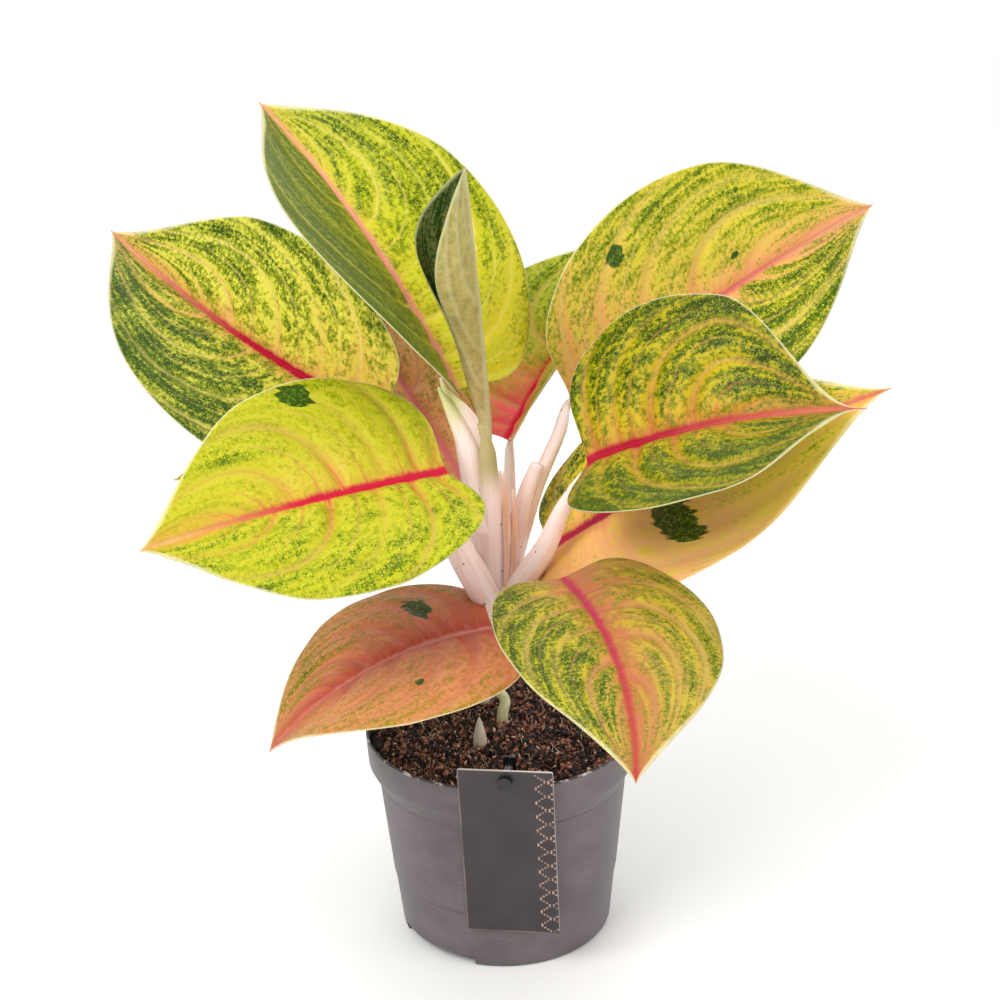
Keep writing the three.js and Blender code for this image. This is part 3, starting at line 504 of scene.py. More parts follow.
LOOKS = {
    1: dict(heart="#bcb418", field="#a4ac10", sun="#c4c22c", edge="#8c9a18", moss="#869212", speck="#566806",
            dot="#2c4604", rib=("#e0907c", "#dca074"), rib_width=(2.2, 0.9), halo="#dcb040", vein="#dcd060",
            vein_base="#dcc050", vein_width=1.8, painted_shade_tone="#526228",
            dense=[((0.6, 1.1), (0.35, 0.9)), (0.8, -0.7, 0.2, 0.4, 0.25), (0.2, -0.75, 0.22, 0.6, -0.9)],
            blush=NONE + [(0.2, -0.7, 0.24, 0.6, 0.75)], blush_tone="#d8c424",
            dusk=[((0.65, 1.1), (0, 0))]),
    2: dict(heart="#968e48", field="#8a8840", sun="#a49a58", edge="#7c7c3c", rib=("#ccbe88", "#b8b480"),
            rib_width=(1.0, 0.5), halo_amount=0.0, vein="#98985c", vein_base="#ac9c60", vein_amount=0.3,
            speck="#1c4006", moss="#34580c", dot="#0c2402", glint="#90a030", dense=[((0.7, 0.9), (0.7, 0.9))],
            dusk=[((0.7, 0.8), (0.7, 0.8))], painted_shade_tone="#16400e", under="#bcae66", under_deep="#968c4c",
            under_rib="#c0b888", hem="#bcbc88", blush=NONE + [(0.05, 0, 0.4, 3, 0.7)]),
    3: dict(heart="#a89820", field="#c0c428", sun="#e4dc50", edge="#84901a", moss="#7e8c16", speck="#405a06",
            dot="#183204", rib=("#b41434", "#dc9c7c"), rib_turns=(0.45, 0.9), rib_width=(2.6, 0.7),
            vein="#dcc868", vein_base="#dc9468", vein_width=1.8, vein_amount=1.0, halo="#dc9058",
            halo_reach=9.0, halo_amount=0.8, dense=[((0.75, 1.3), (0.35, 0.95)), (0.1, 0, 0.25, 1.5, -0.6)],
            blush_tone="#e0a44c", blush=[((0.15, 0), (0.15, 0.0)), (0.1, -0.2, 0.26, 0.9, 0.75)],
            dusk=[((0.15, 0.5), (0, 0.1))], painted_shade_tone="#3e5a18"),
    4: dict(heart="#bca81c", field="#acae14", sun="#c2be2c", edge="#a4a814", moss="#a2a614", speck="#7e8e12",
            dot="#48620a", rib=("#c41c38", "#d8b068"), rib_turns=(0.5, 0.95), rib_width=(2.7, 0.6),
            halo="#d48a40", vein="#c09c4c", vein_base="#cc4c40", vein_width=2.6, vein_amount=0.85,
            dense=[((0.45, 0.95), (0.0, 0.4)), (0.66, -0.82, 0.07, 0.16, 0.4)],
            blush=[((0.15, 0), (0.25, 0.1)), (0.56, -0.25, 0.1, 0.16, 0.4)], blush_tone="#d8b44c",
            patch=NONE + [(0.465, -0.87, 0.036, 0.12, 1.1)]),
    5: dict(heart="#ecb45c", field="#b8bc1c", sun="#d6c43c", edge="#a4a41c", moss="#8e980a", speck="#5e7006",
            dot="#2e5006", rib=("#d84c64", "#dc9878"), rib_width=(1.9, 0.7), halo="#ec9070", halo_reach=13.0,
            halo_amount=0.7, vein="#d4b860", vein_base="#e09070", vein_width=3.2,
            dense=[((0.2, 0.65), (0.95, 1.4)), (0.62, 0.78, 0.25, 0.25, 0.2)],
            blush=[((0.6, 0.05), (0.2, 0)), (0.14, 0.5, 0.22, 0.7, 0.9)], blush_tone="#e4a458",
            patch=NONE + [(0.375, 0.72, 0.026, 0.08, 0.95), (0.67, 0.36, 0.009, 0.035, 1.2)]),
    6: dict(heart="#ac801c", field="#a49808", sun="#c8b41c", edge="#6c7608", moss="#748008", speck="#445204",
            dot="#1c3000", rib=("#ac1430", "#d0705c"), rib_width=(3.1, 0.6), halo="#bc6c3c", halo_reach=9.0,
            halo_amount=0.7, vein="#c49444", vein_base="#bc5840", vein_width=2.8,
            dense=[((0.45, 1.1), (0.65, 1.15)), (0.85, 0.5, 0.12, 0.5, 0.2)], blush=[((0.4, 0), (0.3, 0))],
            blush_tone="#bc8430", glint="#b0a83c", dusk=[((0, 0.2), (0.25, 0.7))], painted_shade_tone="#46580e"),
    7: dict(heart="#f0b870", field="#e0cc34", sun="#e0c040", edge="#d8c830", moss="#aab01c", speck="#5c6c0c",
            dot="#2c4806", rib=("#b42c4c", "#d0705c"), rib_width=(2.4, 0.6), halo="#dc8450", halo_reach=10.0,
            vein="#ecb880", vein_base="#dc9464", vein_amount=0.6,
            dense=[((0.45, 1.0), (-0.3, -0.3)), (0.78, -0.8, 0.14, 0.5, 0.8)],
            blush=[((0.4, 0.0), (0.95, 0.95)), (0.78, -0.75, 0.18, 0.6, -1.0)],
            blush_tone="#ecb070", patch=NONE + [(0.545, -0.44, 0.042, 0.34, 1.1)]),
    8: dict(heart="#b0743a", field="#aca416", sun="#c4b82c", edge="#8c9014", moss="#7c8210", speck="#485c06",
            dot="#26420a", rib=("#b43450", "#b04438"), rib_width=(1.6, 0.9), halo="#b85c40", halo_reach=11.0,
            halo_amount=0.65, vein="#b89a58", vein_base="#bc6850", vein_width=2.6,
            dense=[((0.4, 0.8), (0.85, 1.3)), (0.08, 0, 0.2, 1.2, -0.5)],
            blush=[((0.85, 0.45), (0.45, 0.05)), (0.08, 0, 0.22, 1.5, 0.6)], blush_tone="#b87a48"),
    9: dict(heart="#d87c5c", field="#cc8048", sun="#dc9c64", edge="#ac882c", moss="#9c8420", speck="#6c7410",
            dot="#3c5008", rib=("#e0948c", "#d47468"), rib_width=(1.3, 0.8), halo="#b03430", halo_reach=15.0,
            halo_amount=0.7, vein="#cc7c58", vein_base="#cc7464", vein_width=2.4, vein_amount=0.6,
            dense=[((0.0, 0.2), (0.0, 0.6)), (0.8, -0.8, 0.2, 0.4, 0.4)],
            blush=[((0.4, 0.1), (0.75, 0.35)), (0.1, 0, 0.3, 1.5, 0.6)],
            blush_tone="#d87054",
            patch=NONE + [(0.38, -0.5, 0.042, 0.18, 1.1), (0.495, 0.61, 0.012, 0.025, 1.3)]),
    10: dict(heart="#c4ac28", field="#b8c81c", sun="#c8cc3a", edge="#a0a01c", moss="#94ac10", speck="#5c6e06",
             dot="#2c4c04", rib=("#e42848", "#d8783c"), rib_width=(2.4, 0.8), halo="#ff6878",
             halo_amount=0.95, halo_reach=22.0, halo_end=0.37, fray=3.0,
             dense=[((0.35, 0.85), (0.35, 0.85)), (0.05, 0, 0.3, 1.5, -0.9)],
             blush=[((0.1, 0), (0.1, 0)), (0.1, 0, 0.28, 1.5, 0.8)], blush_tone="#ff7060"),
    11: dict(heart="#dc8c68", field="#e0b45c", sun="#e8bc6c", edge="#cca060", moss="#a09030", speck="#70782a",
             dot="#4c5410", rib=("#e07c80", "#e09c88"), rib_width=(1.8, 0.5), halo="#cc6460", vein="#d8a070",
             vein_base="#d0806c", vein_width=1.6, blush_tone="#e8a46c",
             dense=[((0.3, 0.7), (0.3, 0.7))], blush=[((0.8, 0.4), (0.8, 0.4))]),
    12: dict(rib=("#b81834", "#a89c3c"), halo_amount=0.2, dense=[((0.5, 1.0), (0.5, 1.0))]),
}
LOOKS = {number: {**LOOK_DEFAULTS, **look} for number, look in LOOKS.items()}


# %% The upper face of a blade
def blade_finish(number, look):
    """Waxy leaf cuticle over coloured cells: satin gloss, with the colour pattern below it."""
    material, put = new_material(f"leaf_cuticle_{number:02d}_upper")
    grid, flow = (put(READ, attribute_name=name).outputs["Vector"] for name in ("grid", "flow"))
    along, across, rim, rib, rib_mm, force, dense, blush, patch, dusk = (
        put(READ, attribute_name=name).outputs["Fac"]
        for name in "along across rim rib rib_mm force dense blush patch dusk".split())

    # Clouds 15 mm across drift over strokes drawn out along the veins, 1 mm grains and finer threads.
    drift = put(RANGE, put(FLAT_NOISE, grid, Scale=0.065, Detail=2), 0.3, 0.7, -1, 1)
    strokes = put(FLAT_NOISE, put(STRETCH, flow, (0.25, 0.19, 1)), Scale=1, Detail=1.5)
    grain = put(FLAT_NOISE, grid, Scale=0.5, Detail=4, Roughness=0.72)
    threads = put(FLAT_NOISE, put(STRETCH, flow, (0.9, 0.07, 1)), Scale=1, Detail=2)
    mottle = put(TIMES_PLUS, grain, 0.62, put(TIMES, strokes, 0.38))
    waver = put(RANGE, put(FLAT_NOISE, grid, Scale=0.2, Detail=1), 0.3, 0.7, -0.35, 0.35)

    # Distances from the midrib and from the nearest side vein, a little ragged.
    off_rib = put(ABSOLUTE, across)
    ragged = put(PLUS, waver, put(PLUS, put(RANGE, threads, 0.35, 0.65, -0.18, 0.18), off_rib))
    frayed = put(PLUS, put(RANGE, threads, 0.35, 0.65, -look["fray"], look["fray"]), off_rib)
    nearest = put(MINUS, rib, put(ROUND, rib))
    vein_off = put(ABSOLUTE, put(TIMES_PLUS, nearest, rib_mm, waver))
    halfway = put(MINUS, put(FRACTION, rib), 0.5)
    half_off = put(ABSOLUTE, put(TIMES_PLUS, halfway, rib_mm, waver))
    near_vein = put(EASE, vein_off, 0.8, 6, 1, 0)

    # The ground is warm near the midrib and bright in grains and along the veins.
    colour = put(BLEND, put(RANGE, off_rib, 2, 20), look["heart"], look["field"])
    colour = put(BLEND, put(RANGE, rim, 12, 1), colour, look["edge"])
    sunny = put(RANGE, put(TIMES_PLUS, near_vein, -0.05, mottle), 0.53, 0.44, 0, 0.75)
    colour = put(BLEND, sunny, colour, look["sun"])
    uneven = put(TIMES_PLUS, drift, 0.3, put(RANGE, strokes, 0.3, 0.7, 0.4, 1.2))
    uneven = put(TIMES_PLUS, near_vein, 0.4, uneven)
    blushing = put(TIMES, blush, uneven, use_clamp=True)
    colour = put(BLEND, blushing, colour, look["blush_tone"])
    halo = put(RANGE, frayed, 0.5, look["halo_reach"], look["halo_amount"], 0)
    halo = put(TIMES, halo, put(RANGE, along, look["halo_end"] - 0.25, look["halo_end"], 1, 0))
    colour = put(BLEND, halo, colour, look["halo"])

    # Green speckling in four steps: a moss wash, deeper strokes, dark dots, and pale dots left in the dark.
    spare = dense
    for field, weight in ((near_vein, -0.4), (drift, 0.25), (blushing, -0.3), (halo, -0.6)):
        spare = put(TIMES_PLUS, field, weight, spare)
    line = put(RANGE, spare, 0, 1, 0.6, 0.45, clamp=False)
    over = put(MINUS, mottle, line)
    wash = put(EASE, over, -0.09, 0.01, 0, 0.9)
    colour = put(BLEND, wash, colour, look["moss"])
    deep = put(EASE, over, 0.02, 0.1, 0, 0.8)
    colour = put(BLEND, deep, colour, look["speck"])
    dots = put(FLAT_CELLS, grid, Scale=1)
    size = put(TIMES_PLUS, over, 2.2, put(TIMES, spare, 0.45))
    size = put(TIMES_PLUS, put(SPLIT, dots.outputs["Color"]), -0.5, size)
    dark = put(RANGE, put(MINUS, size, dots.outputs["Distance"]), -0.05, 0.08, 0, 0.85)
    dark = put(LARGER, dark, put(RANGE, over, 0.14, 0.22, 0, 0.75))
    colour = put(BLEND, dark, colour, look["dot"])
    pale = put(FLAT_CELLS, grid, Scale=0.8)
    pale_size = put(TIMES_PLUS, put(SPLIT, pale.outputs["Color"]), -0.6, 0.28)
    pale = put(RANGE, put(MINUS, pale_size, pale.outputs["Distance"]), -0.03, 0.06, 0, 0.9)
    colour = put(BLEND, put(TIMES, pale, wash), colour, look["glint"])

    # Painted shade: the darker, greyer green of the parts that turn away from the light, laid over the speckles
    # and the pale dots.
    painted_shade_share = put(TIMES, dusk, put(RANGE, mottle, 0.42, 0.56, 0.7, 0.9), use_clamp=True)
    colour = put(BLEND, painted_shade_share, colour, look["painted_shade_tone"])

    # Side veins are thin pale lines in a soft band, with weaker lines half-way, then the midrib.
    tint = put(BLEND, put(RANGE, off_rib, 2, 26), look["vein_base"], look["vein"])
    strength = put(TIMES, put(RANGE, rim, 1, 9, 0.5, 1), force)
    # Under the painted shade the side veins and the weaker lines are painted dimmer too.
    strength = put(TIMES, put(RANGE, painted_shade_share, 0, 1, 1, 0.5), strength)
    core = put(RANGE, vein_off, 0.2, 0.85, look["vein_amount"], 0)
    band = put(EASE, vein_off, 0.4, look["vein_width"], 0.5 * look["vein_amount"], 0)
    vein = put(TIMES, put(LARGER, core, band), strength)
    second = put(TIMES, put(RANGE, half_off, 0.15, 0.9, 0.45, 0), put(RANGE, rim, 3, 16))
    second = put(TIMES, second, put(RANGE, painted_shade_share, 0, 0.6, 1, 0.2))
    colour = put(BLEND, put(LARGER, vein, second), colour, tint)
    colour = put(SCALE, colour, Scale=put(RANGE, threads, 0.35, 0.65, 0.975, 1.025))
    tone = put(BLEND, put(RANGE, along, *look["rib_turns"]), *look["rib"])
    width = put(MINUS, put(RANGE, along, 0, 1, *look["rib_width"]), ragged)
    colour = put(BLEND, put(RANGE, width, -1.1, 0.7), colour, tone)

    # One green patch on some leaves, with paler dots left in it, and the thin pale margin.
    torn = put(RANGE, put(TIMES_PLUS, put(MINUS, strokes, 0.5), 0.8, patch), 0.44, 0.52, 0, 0.95)
    inside = put(BLEND, put(RANGE, grain, 0.5, 0.64), "#1c3e06", "#4c7a1c")
    colour = put(BLEND, put(TIMES, torn, put(RANGE, pale, 0, 1, 1, 0.5)), colour, inside)
    colour = put(BLEND, put(RANGE, rim, 0.15, 0.55, look["hem_amount"], 0), colour, look["hem"])

    # Threads and cells are too shallow for the mesh, so they are bumps.
    cells = put(FLAT_NOISE, grid, Scale=1.6, Detail=2)
    height = put(TIMES_PLUS, threads, 0.8, cells)
    bump = put(BUMP, Strength=0.35, Distance=0.0004, Height=height)
    gloss = put(RANGE, grain, 0.3, 0.7, 0.3, 0.4)
    put(SURFACE, put(SHADER, Base_Color=colour, Roughness=gloss, IOR=1.42, Specular_IOR_Level=0.15,
                     Normal=bump))
    return material


# %% The under face of a blade
def underside_finish(number, look):
    """The lower skin is pale and nearly matt, with raised veins."""
    material, put = new_material(f"leaf_cuticle_{number:02d}_under")
    grid = put(READ, attribute_name="grid").outputs["Vector"]
    across, rim, rib, rib_mm, dense, blush = (put(READ, attribute_name=name).outputs["Fac"]
                                              for name in "across rim rib rib_mm dense blush".split())
    deep = put(RANGE, put(NOISE, grid, Scale=0.25, Detail=4, Roughness=0.7), 0.38, 0.62)
    vein_off = put(ABSOLUTE, put(TIMES, put(MINUS, rib, put(ROUND, rib)), rib_mm))
    colour = put(BLEND, put(TIMES, dense, deep, use_clamp=True), look["under"], look["under_deep"])
    for share, tone in (
            (put(TIMES, blush, 0.6), "#c9957a"),
            (put(EASE, vein_off, 0.3, 1.3, 0.45, 0), look["under_rib"]),
            (put(EASE, put(ABSOLUTE, across), 1.2, 3, 0.9, 0), look["under_rib"]),
            (put(RANGE, rim, 0.3, 0.7, 0.8, 0), look["hem"])):
        colour = put(BLEND, share, colour, tone)
    cells = put(NOISE, grid, Scale=1.4, Detail=2)
    bump = put(BUMP, Strength=0.3, Distance=0.0003, Height=cells)
    put(SURFACE, put(SHADER, Base_Color=colour, Roughness=0.5, IOR=1.4, Specular_IOR_Level=0.35, Normal=bump))
    return material


# %% Make the twelve blades
LEAF_SLOTS = {2: "young_blade", 7: "rose_blade", 9: "rose_blade", 11: "rose_blade"}
for number, leaf in enumerate(LEAVES, 1):
    settle(blade(number, leaf), LEAF_SLOTS.get(number, "green_blade"), f"leaf_{number:02d}")

# %% [markdown]
# ## Cane, stalks and sheaths
# Each leaf stands on a fleshy stalk that widens downwards and wraps the short cane, so the stalks crowd into
# one pale column. A stalk is a tube along a smooth curve. Its frame is carried along the curve without
# twisting, so the streaks in its skin run straight from top to foot.

# %% A tube along a curve
def smooth_path(knots, steps):
    """Points on a Catmull-Rom curve through the knots, evenly spaced."""
    knots = np.array(knots, float)
    knots = np.concatenate([[2 * knots[0] - knots[1]], knots, [2 * knots[-1] - knots[-2]]])
    pieces = []
    for a, b, c, d in zip(knots, knots[1:], knots[2:], knots[3:]):
        u = np.linspace(0, 1, 40)[:, None]
        pieces.append(0.5 * (2 * b + (c - a) * u + (2 * a - 5 * b + 4 * c - d) * u ** 2
                             + (3 * b - a - 3 * c + d) * u ** 3))
    points = np.concatenate(pieces)
    length = np.concatenate([[0], np.cumsum(np.linalg.norm(np.diff(points, axis=0), axis=1))])
    even = np.linspace(0, length[-1], steps + 1)
    return np.stack([np.interp(even, length, points[:, k]) for k in range(3)], 1), even


def tube(knots, radii, sides=20, steps=44):
    """Points and faces of a closed round bar, and for each point its place in the bar's own frame. radii are
    (share, radius) pairs. The first ring starts off any direction that no bar takes."""
    line, run = smooth_path(knots, steps)
    ahead = np.gradient(line, axis=0)
    ahead /= np.linalg.norm(ahead, axis=1)[:, None]
    across = np.cross(ahead[0], (0.3, 0.8, 0.52))
    frames = []
    for direction in ahead:
        across = across - direction * across.dot(direction)
        across = across / np.linalg.norm(across)
        frames.append((across, np.cross(direction, across)))
    radius = np.interp(np.linspace(0, 1, steps + 1), *zip(*radii))
    angle = np.arange(sides) * 2 * np.pi / sides
    points, grain = [], []
    for centre, (u, v), r, along in zip(line, frames, radius, run):
        ring = np.cos(angle)[:, None] * u + np.sin(angle)[:, None] * v
        points.append(centre + r * ring)
        grain.append(np.stack([r * np.cos(angle), r * np.sin(angle), 0 * angle + along], 1))
    points = np.concatenate([*points, line[[0, -1]]])
    grain = np.concatenate([*grain, [(0, 0, 0), (0, 0, run[-1])]])
    top, foot = len(points) - 2, len(points) - 1
    faces = []
    for i in range(steps):
        for k in range(sides):
            n = (k + 1) % sides
            faces.append((i * sides + k, i * sides + n, (i + 1) * sides + n, (i + 1) * sides + k))
    for k in range(sides):
        n = (k + 1) % sides
        faces.append((top, n, k))
        faces.append((foot, steps * sides + k, steps * sides + n))
    return points, faces, grain


def join(parts):
    """One list of points, faces and places from several."""
    points, faces, grains = [], [], []
    for part_points, part_faces, grain in parts:
        start = sum(len(p) for p in points)
        points.append(part_points)
        faces += [tuple(start + i for i in face) for face in part_faces]
        grains.append(grain)
    return np.concatenate(points), faces, np.concatenate(grains)


# %% The shoot
STALKS = [  # each from under its blade down into the crown, with its radii at the top, midway and at the foot
    ([(-15, 10, 248), (-9, 9, 233), (-6, 9, 217), (-3, 11, 189), (-1, 14, 150)], (3.6, 6.2, 8)),
    ([(-2, 0, 227), (-2, 3, 208), (-1, 9, 182), (0, 13, 150)], (3.6, 5.2, 6.5)),
    ([(-46, 15, 234), (-35, 10, 211), (-22, 11, 184), (-10, 14, 160), (-3, 16, 142)], (2.4, 4.5, 6)),
    ([(-19, -25, 225), (-19, -17, 205), (-16, -8, 185), (-9, 3, 165), (-1, 13, 146)], (2.8, 5.8, 7.5)),
    ([(35, 41, 230.5), (29, 34, 219), (22, 27, 206), (15, 21, 191), (6, 16, 166), (0, 14, 148)],
     (2.8, 3.4, 6.5)),
    ([(39, -17, 224), (34, -15, 212), (28, -11, 200), (21, -4, 181), (12, 4, 164), (0, 14, 145)],
     (2.6, 4.2, 7)),
    ([(23, 13, 172), (15, 14, 160), (6, 14, 150), (-1, 15, 138)], (2.6, 3.4, 5)),
    ([(27, -48, 186), (19, -30, 173), (8, -5, 156), (0, 12, 140)], (2.4, 3.4, 5)),
    ([(-2, -17, 150), (-2, -6, 140), (-1, 6, 131), (-3, 18, 122)], (2.6, 3.4, 4.5)),
    ([(7, 58, 208), (7, 45, 195), (6, 30, 180), (3, 19, 160), (-1, 15, 146)], (2.2, 3, 5)),
    ([(-14, 33, 199), (-9, 28, 177), (-4, 21, 154), (-2, 17, 142)], (2.4, 3.2, 4.5)),
    ([(-20, 38, 188), (-13, 32, 166), (-7, 23, 148), (-4, 19, 135)], (2.4, 3.2, 4.5)),
]
SHEATHS = [  # old sheaths that still clasp the stalks: a pointed wing, a cut stump and a short inner one
    ([(-22, 6, 251), (-17, 6, 240), (-11, 6, 226), (-8, 7, 208), (-5, 9, 186)], (0.7, 5.4, 6.6)),
    ([(19, 18, 211), (13, 17, 195), (7, 15, 172)], (3, 4, 5.5)),
    ([(2, 24, 206), (2, 22, 196), (2, 18, 178), (0, 15, 158)], (1.6, 4, 6)),
]
PAPERY = [  # dry brown edges of sheaths that have withered between the stalks
    ([(4.5, 2, 214), (5, 3, 196), (5, 4, 178), (4, 5, 160)], (0.5, 1.8, 1.4)),
    ([(8, 4, 205), (8.5, 4, 190), (8, 4, 172), (6, 5, 158)], (0.5, 2, 1.6)),
]
FURLED = 1  # which stalk bears the furled leaf
CANE = ([(0, 13, 158), (-2, 16, 146), (-6, 24, 116), (-8, 29, 98), (-9, 31, 66)], (5, 5.5, 6))


def stalk(leaf, knots, radii):
    """A stalk lies some depth under the base of its blade. It runs on from there into the keel, rising inward,
    and ends in a tip; under the furled blade it goes on into the roll."""
    _, _, forward, _, normal = midrib(leaf)
    top, middle, foot = radii
    if leaf["furl"]:
        depth, onward, inward, tip = -0.5, 10, 1.8, 0.5 * top
    else:
        depth, onward, inward, tip = top + 0.7, 8, 0.4, 0.6
    under = np.array(knots[0]) - depth * normal[0]
    reach = under + onward * forward[0] + inward * normal[0]
    radii = [(0, tip), (0.08, 0.6 * top), (0.16, top), (0.45, middle), (1, foot)]
    return tube([reach, under, *knots[1:]], radii)


def bar(knots, radii):
    return tube(knots, list(zip((0, 0.45, 1), radii)))


parts = [stalk(leaf, *rod) for leaf, rod in zip(LEAVES, STALKS)]
parts += [bar(*rod) for rod in [*SHEATHS, CANE, *PAPERY]]
points, faces, grain = join(parts)
owner = np.repeat(np.arange(len(parts)), [len(part[0]) for part in parts])
x, y, z = points.T
shoot = mesh_object("shoot", points, faces)
note(shoot.data, "grain", grain)
note(shoot.data, "dry", owner >= len(parts) - len(PAPERY))
# Green tips the pointed wing at the left, and sage the stalk that runs up into the furled leaf.
note(shoot.data, "green", smoothstep(z, 226, 246) * smoothstep(-x, 9, 15) * (y < 13))
note(shoot.data, "sage", (owner == FURLED) * smoothstep(z, 200, 220))

# %% Stalk skin
# Fleshy skin, grown pale and waxy: pink-white, tan in streaks, brown where it has dried, with dark specks.
stalk_skin, put = new_material("stalk_skin_waxy")
grain_at = put(READ, attribute_name="grain").outputs["Vector"]
dry, green, sage = (put(READ, attribute_name=name).outputs["Fac"] for name in ("dry", "green", "sage"))
place = put(COORDINATES).outputs["Object"]
streak = put(NOISE, put(STRETCH, grain_at, (0.6, 0.6, 0.03)), Scale=1, Detail=3)
blotch = put(NOISE, place, Scale=60, Detail=2)
flecks = put(CELLS, place, Scale=360)
chance = put(SPLIT, flecks.outputs["Color"]).outputs["Red"]
crowded = put(RANGE, blotch, 0.38, 0.55, 1, 0.3)
size = put(TIMES, put(RANGE, chance, 0.6, 1, 0, 0.26), crowded)
colour = put(BLEND, put(RANGE, put(AXES, place).outputs["Z"], 0.14, 0.2), "#fff2ee", "#ffeae2")
for share, tone in (
        (put(RANGE, streak, 0.48, 0.66, 0, 0.5), "#f8c8b0"),
        (put(RANGE, blotch, 0.5, 0.75, 0, 0.25), "#fcc4c4"),
        (put(TIMES, put(RANGE, streak, 0.35, 0.6, 0.45, 0.95), dry), "#d8a480"),
        (green, "#dcdc98"), (sage, "#b8ac74"),
        (put(RANGE, put(MINUS, size, flecks.outputs["Distance"]), -0.01, 0.03, 0, 0.85), "#4a2c22")):
    colour = put(BLEND, share, colour, tone)
bump = put(BUMP, Strength=0.3, Distance=0.0005, Height=streak)
put(SURFACE, put(SHADER, Base_Color=colour, Roughness=0.4, IOR=1.42, Normal=bump, Subsurface_Weight=0.12,
                 Subsurface_Radius=(0.004, 0.002, 0.0015), Subsurface_Scale=1))
dress(shoot, stalk_skin)
settle(shoot, "stalk", "stems")

# %% [markdown]
# ## The pot
# A nursery pot is one thin moulding: a plain wall that widens upwards, a step low down, a sloping shoulder
# and a stiff rim band. It is round, so its section is turned round the upright axis. Booleans hollow it and
# cut the two recesses under it, over which its floor is raised, and the four drain holes through them.

# %% Turned shapes
def turned(name, section, segments=144):
    """Turns a closed section of (radius, height) round the upright axis."""
    angle = np.arange(segments) * 2 * np.pi / segments
    points, rows = [], []
    for radius, height in section:
        if radius == 0:
            rows.append([len(points)] * segments)
            points.append((0, 0, height))
        else:
            rows.append(list(range(len(points), len(points) + segments)))
            points += [(radius * math.cos(a), radius * math.sin(a), height) for a in angle]
    faces = []
    for low, high in zip(rows, rows[1:]):
        for k in range(segments):
            n = (k + 1) % segments
            faces.append(list(dict.fromkeys([low[k], low[n], high[n], high[k]])))
    return mesh_object(name, points, faces)


def cut(piece, tools):
    """Cuts tools out of a piece with Boolean modifiers, and drops them."""
    for tool in tools:
        modifier = piece.modifiers.new(tool.name, "BOOLEAN")
        modifier.operation, modifier.object, modifier.solver = "DIFFERENCE", tool, "EXACT"
    from_modifiers(piece)
    for tool in tools:
        bpy.data.objects.remove(tool)


# %% The pot
POT_WALL, POT_TOP = 1.1, 96
RIM_FOOT, STEP, SHOULDER_UP = 82.5, 28.0, 73.6  # heights of the rim band's lower edge and of the two creases
RECESSES, RECESS_SPAN, RECESS_HEIGHT, RECESS_INNER = (-135, 45), 54, 4.5, 26
FOOT_RADIUS, OUTSIDE = 47.2, 70  # of the wall over its foot, and a radius that clears it
DRAIN_RADIUS, DRAIN_RING, DRAIN_OFFSET = 3.5, 36, 13
outline = [(0, 0), (45.2, 0), (46.2, 0.25), (46.9, 1.0), (FOOT_RADIUS, 2), (50, STEP), (50.45, STEP + 0.25),
           (50.5, STEP + 0.9), (55, SHOULDER_UP), (55.4, SHOULDER_UP + 0.4), (55.5, SHOULDER_UP + 1.2),
           (58.5, RIM_FOOT - 1.8), (59.0, RIM_FOOT - 0.5), (59.3, RIM_FOOT), (60, 95.2), (59.9, 95.7),
           (59.5, POT_TOP)]
lining = [(0, POT_WALL), (44.1, POT_WALL), (46.1, 3.1), (48.9, STEP - 0.2), (49.4, STEP + 0.9),
          (53.9, SHOULDER_UP), (54.2, SHOULDER_UP + 1), (58.2, RIM_FOOT + 0.3), (58.85, 95.4), (59.15, 95.9)]


def prism(name, plan, low, high):
    """An upright block with a plan given anticlockwise."""
    n = len(plan)
    points = [(x, y, z) for z in (low, high) for x, y in plan]
    faces = [tuple(range(n))[::-1], tuple(range(n, 2 * n))]
    faces += [(k, (k + 1) % n, n + (k + 1) % n, n + k) for k in range(n)]
    return mesh_object(name, points, faces)


def sector(name, centre, span, inner, top):
    """A block from under the pot up to a height, with a plan like a piece of a ring."""
    angles = np.radians(np.linspace(centre - span / 2, centre + span / 2, 13))
    plan = [(OUTSIDE * math.cos(a), OUTSIDE * math.sin(a)) for a in angles]
    plan += [(inner * math.cos(a), inner * math.sin(a)) for a in angles[::-1]]
    return prism(name, plan, -1, top)


def drain(number, centre, side):
    """A round bar through the pot's floor, at one side of a recess."""
    turn = math.radians(centre + side * DRAIN_OFFSET)
    x, y = DRAIN_RING * math.cos(turn), DRAIN_RING * math.sin(turn)
    around = np.arange(24) * 2 * np.pi / 24
    plan = [(x + DRAIN_RADIUS * math.cos(a), y + DRAIN_RADIUS * math.sin(a)) for a in around]
    return prism(f"drain_{number}", plan, -2, 9)


pot = turned("pot_moulding", outline + [(0, POT_TOP)])
cavity = turned("cavity", lining + [(59.25, POT_TOP + 1), (0, POT_TOP + 1)])
raised_span = RECESS_SPAN + math.degrees(2 * POT_WALL / FOOT_RADIUS)
cut(cavity, [sector(f"raised_{i}", centre, raised_span, RECESS_INNER - POT_WALL, RECESS_HEIGHT + POT_WALL)
             for i, centre in enumerate(RECESSES)])
cut(pot, [cavity] + [sector(f"recess_{i}", centre, RECESS_SPAN, RECESS_INNER, RECESS_HEIGHT)
                     for i, centre in enumerate(RECESSES)])
cut(pot, [drain(2 * i + (side > 0), centre, side) for i, centre in enumerate(RECESSES) for side in (-1, 1)])
pot.data.set_sharp_from_angle(angle=math.radians(28))
